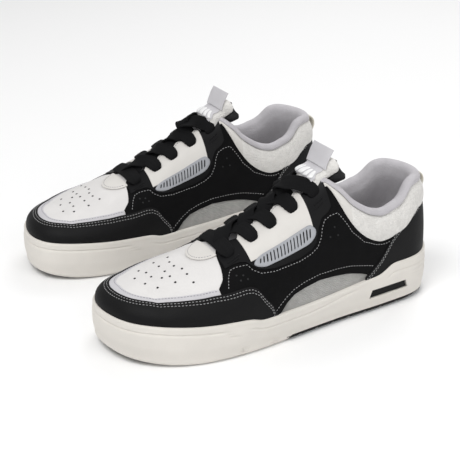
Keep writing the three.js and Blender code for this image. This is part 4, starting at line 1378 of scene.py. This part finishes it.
# ribs and slot on the brackets of the lace frame
def makeBracketRibs():
    bars = []
    for side in (1, -1):
        for s0, t0, s1, t1, size in ((0.2105, 0.66, 0.2205, 0.655, 0.55), (0.211, 0.625, 0.2205, 0.618, 0.4),
                                     (0.2955, 0.69, 0.310, 0.668, 0.75), (0.297, 0.655, 0.310, 0.64, 0.4)):
            def place(a, b, s0=s0, t0=t0, s1=s1, t1=t1, size=size):
                angle = 2 * math.pi * (round(b * 10) % 10) / 10
                end = math.sqrt(max(0, 1 - abs(2 * a - 1) ** 8))
                s, t = s0 + (s1 - s0) * a, t0 + (t1 - t0) * a
                u = s if side > 0 else 1 - s
                off = upper["frameOff"] + 0.45 * end * math.sin(angle)
                return skin(u, t + climb(u, t, size * end * math.cos(angle)), off)
            bar = layGrid("bracketRib", 10, 10, place)
            tidyMesh(bar)
            bars.append(bar)
    piece = joinPieces("bracketRibs", bars)
    smoothShade(piece, 60)
    return bothShoes(piece, blackFrame)


makeBracketRibs()

# stitching
stitchLines = {
    "frame": [(0.320, 0.40), (0.3155, 0.52), (0.311, 0.590), (0.305, 0.590), (0.294, 0.555), (0.291, 0.484),
              (0.284, 0.413), (0.271, 0.365), (0.258, 0.345), (0.245, 0.328), (0.233, 0.332), (0.225, 0.350),
              (0.220, 0.40), (0.2175, 0.455), (0.214, 0.495), (0.2075, 0.492), (0.2005, 0.469), (0.196, 0.404),
              (0.188, 0.292), (0.176, 0.202), (0.163, 0.158), (0.150, 0.130), (0.141, 0.118)],
    "meshArc": [(0.165, 0.055), (0.178, 0.082), (0.191, 0.112), (0.208, 0.143), (0.226, 0.168), (0.242, 0.166),
                (0.254, 0.15), (0.263, 0.115), (0.270, 0.07), (0.275, 0.03)],
    "mudguard": [(0.2762, 0.03), (0.279, 0.10), (0.286, 0.19), (0.291, 0.277), (0.297, 0.318), (0.304, 0.335),
                 (0.318, 0.343), (0.325, 0.352), (0.335, 0.374), (0.351, 0.394), (0.372, 0.44), (0.389, 0.49),
                 (0.409, 0.535), (0.45, 0.555), (0.5, 0.56)],
}


def makeStitching():
    white, grey = [], []
    for side in (1, -1):
        white.append(seamRow(stitchLines["frame"], upper["quarterOff"] + 0.1, side, 160))
        white.append(seamRow(stitchLines["meshArc"], upper["quarterOff"] + 0.1, side, 80))
        patch = [p for p in seams["patch"] if p[0] >= 0.085]
        for drop in (-2.0, -4.2):
            white.append(seamRow(patch, upper["patchOff"] + 0.1, side, 60, drop))
        for drop in (-1.4, -3.9):
            white.append(seamRow(stitchLines["mudguard"], upper["mudguardOff"] + 0.1, side, 160, drop))
        trim = [(0.331, line(seams["trim"], 0.331))] + [p for p in seams["trim"] if p[0] > 0.332]
        grey.append(seamRow(trim, upper["trimOff"] + 0.08, side, 120, -1.5))
        stayEdge = [(s, stayHigh(s)) for s in (0.229 + 0.0575 * k / 60 for k in range(61))]
        grey.append(seamRow(stayEdge, upper["stayOff"] + 0.25, side, 120, -2.2))
    layStitches("blackUpperStitches", white, whiteThread)
    layStitches("trimStitches", grey, greyThread, pitch=2.4, radius=0.28)


makeStitching()
print("stitching ready")


# stage
stage = {"floor": 6, "white": 0.92, "world": 0.54,
         "lamps": (("keyLight", (0.5, -0.9, 1.6), 0.8, 17), ("fillLight", (1.4, 0.4, 1.0), 1.2, 6.5),
                   ("backLight", (-0.8, 1.0, 1.4), 1.0, 9))}


def makeStage():
    bpy.ops.object.select_all(action="DESELECT")
    bpy.ops.mesh.primitive_plane_add(size=stage["floor"])
    floor = bpy.context.object
    floor.name = "floor"
    material = bpy.data.materials.new("paleFloor")
    material.use_nodes = True
    shader = material.node_tree.nodes["Principled BSDF"]
    shader.inputs["Base Color"].default_value = [stage["white"]] * 3 + [1]
    shader.inputs["Roughness"].default_value = 0.6
    floor.data.materials.append(material)
    world = bpy.data.worlds.new("studio")
    world.use_nodes = True
    world.node_tree.nodes["Background"].inputs["Color"].default_value = (1, 1, 1, 1)
    world.node_tree.nodes["Background"].inputs["Strength"].default_value = stage["world"]
    bpy.context.scene.world = world
    for name, spot, size, power in stage["lamps"]:
        data = bpy.data.lights.new(name, "AREA")
        data.energy = power
        data.size = size
        lamp = bpy.data.objects.new(name, data)
        lamp.location = spot
        lamp.rotation_euler = (Vector((0, 0, 0.05)) - Vector(spot)).to_track_quat("-Z", "Y").to_euler()
        bpy.context.scene.collection.objects.link(lamp)
    bpy.context.scene.view_settings.view_transform = "Standard"


makeStage()
print("stage ready")
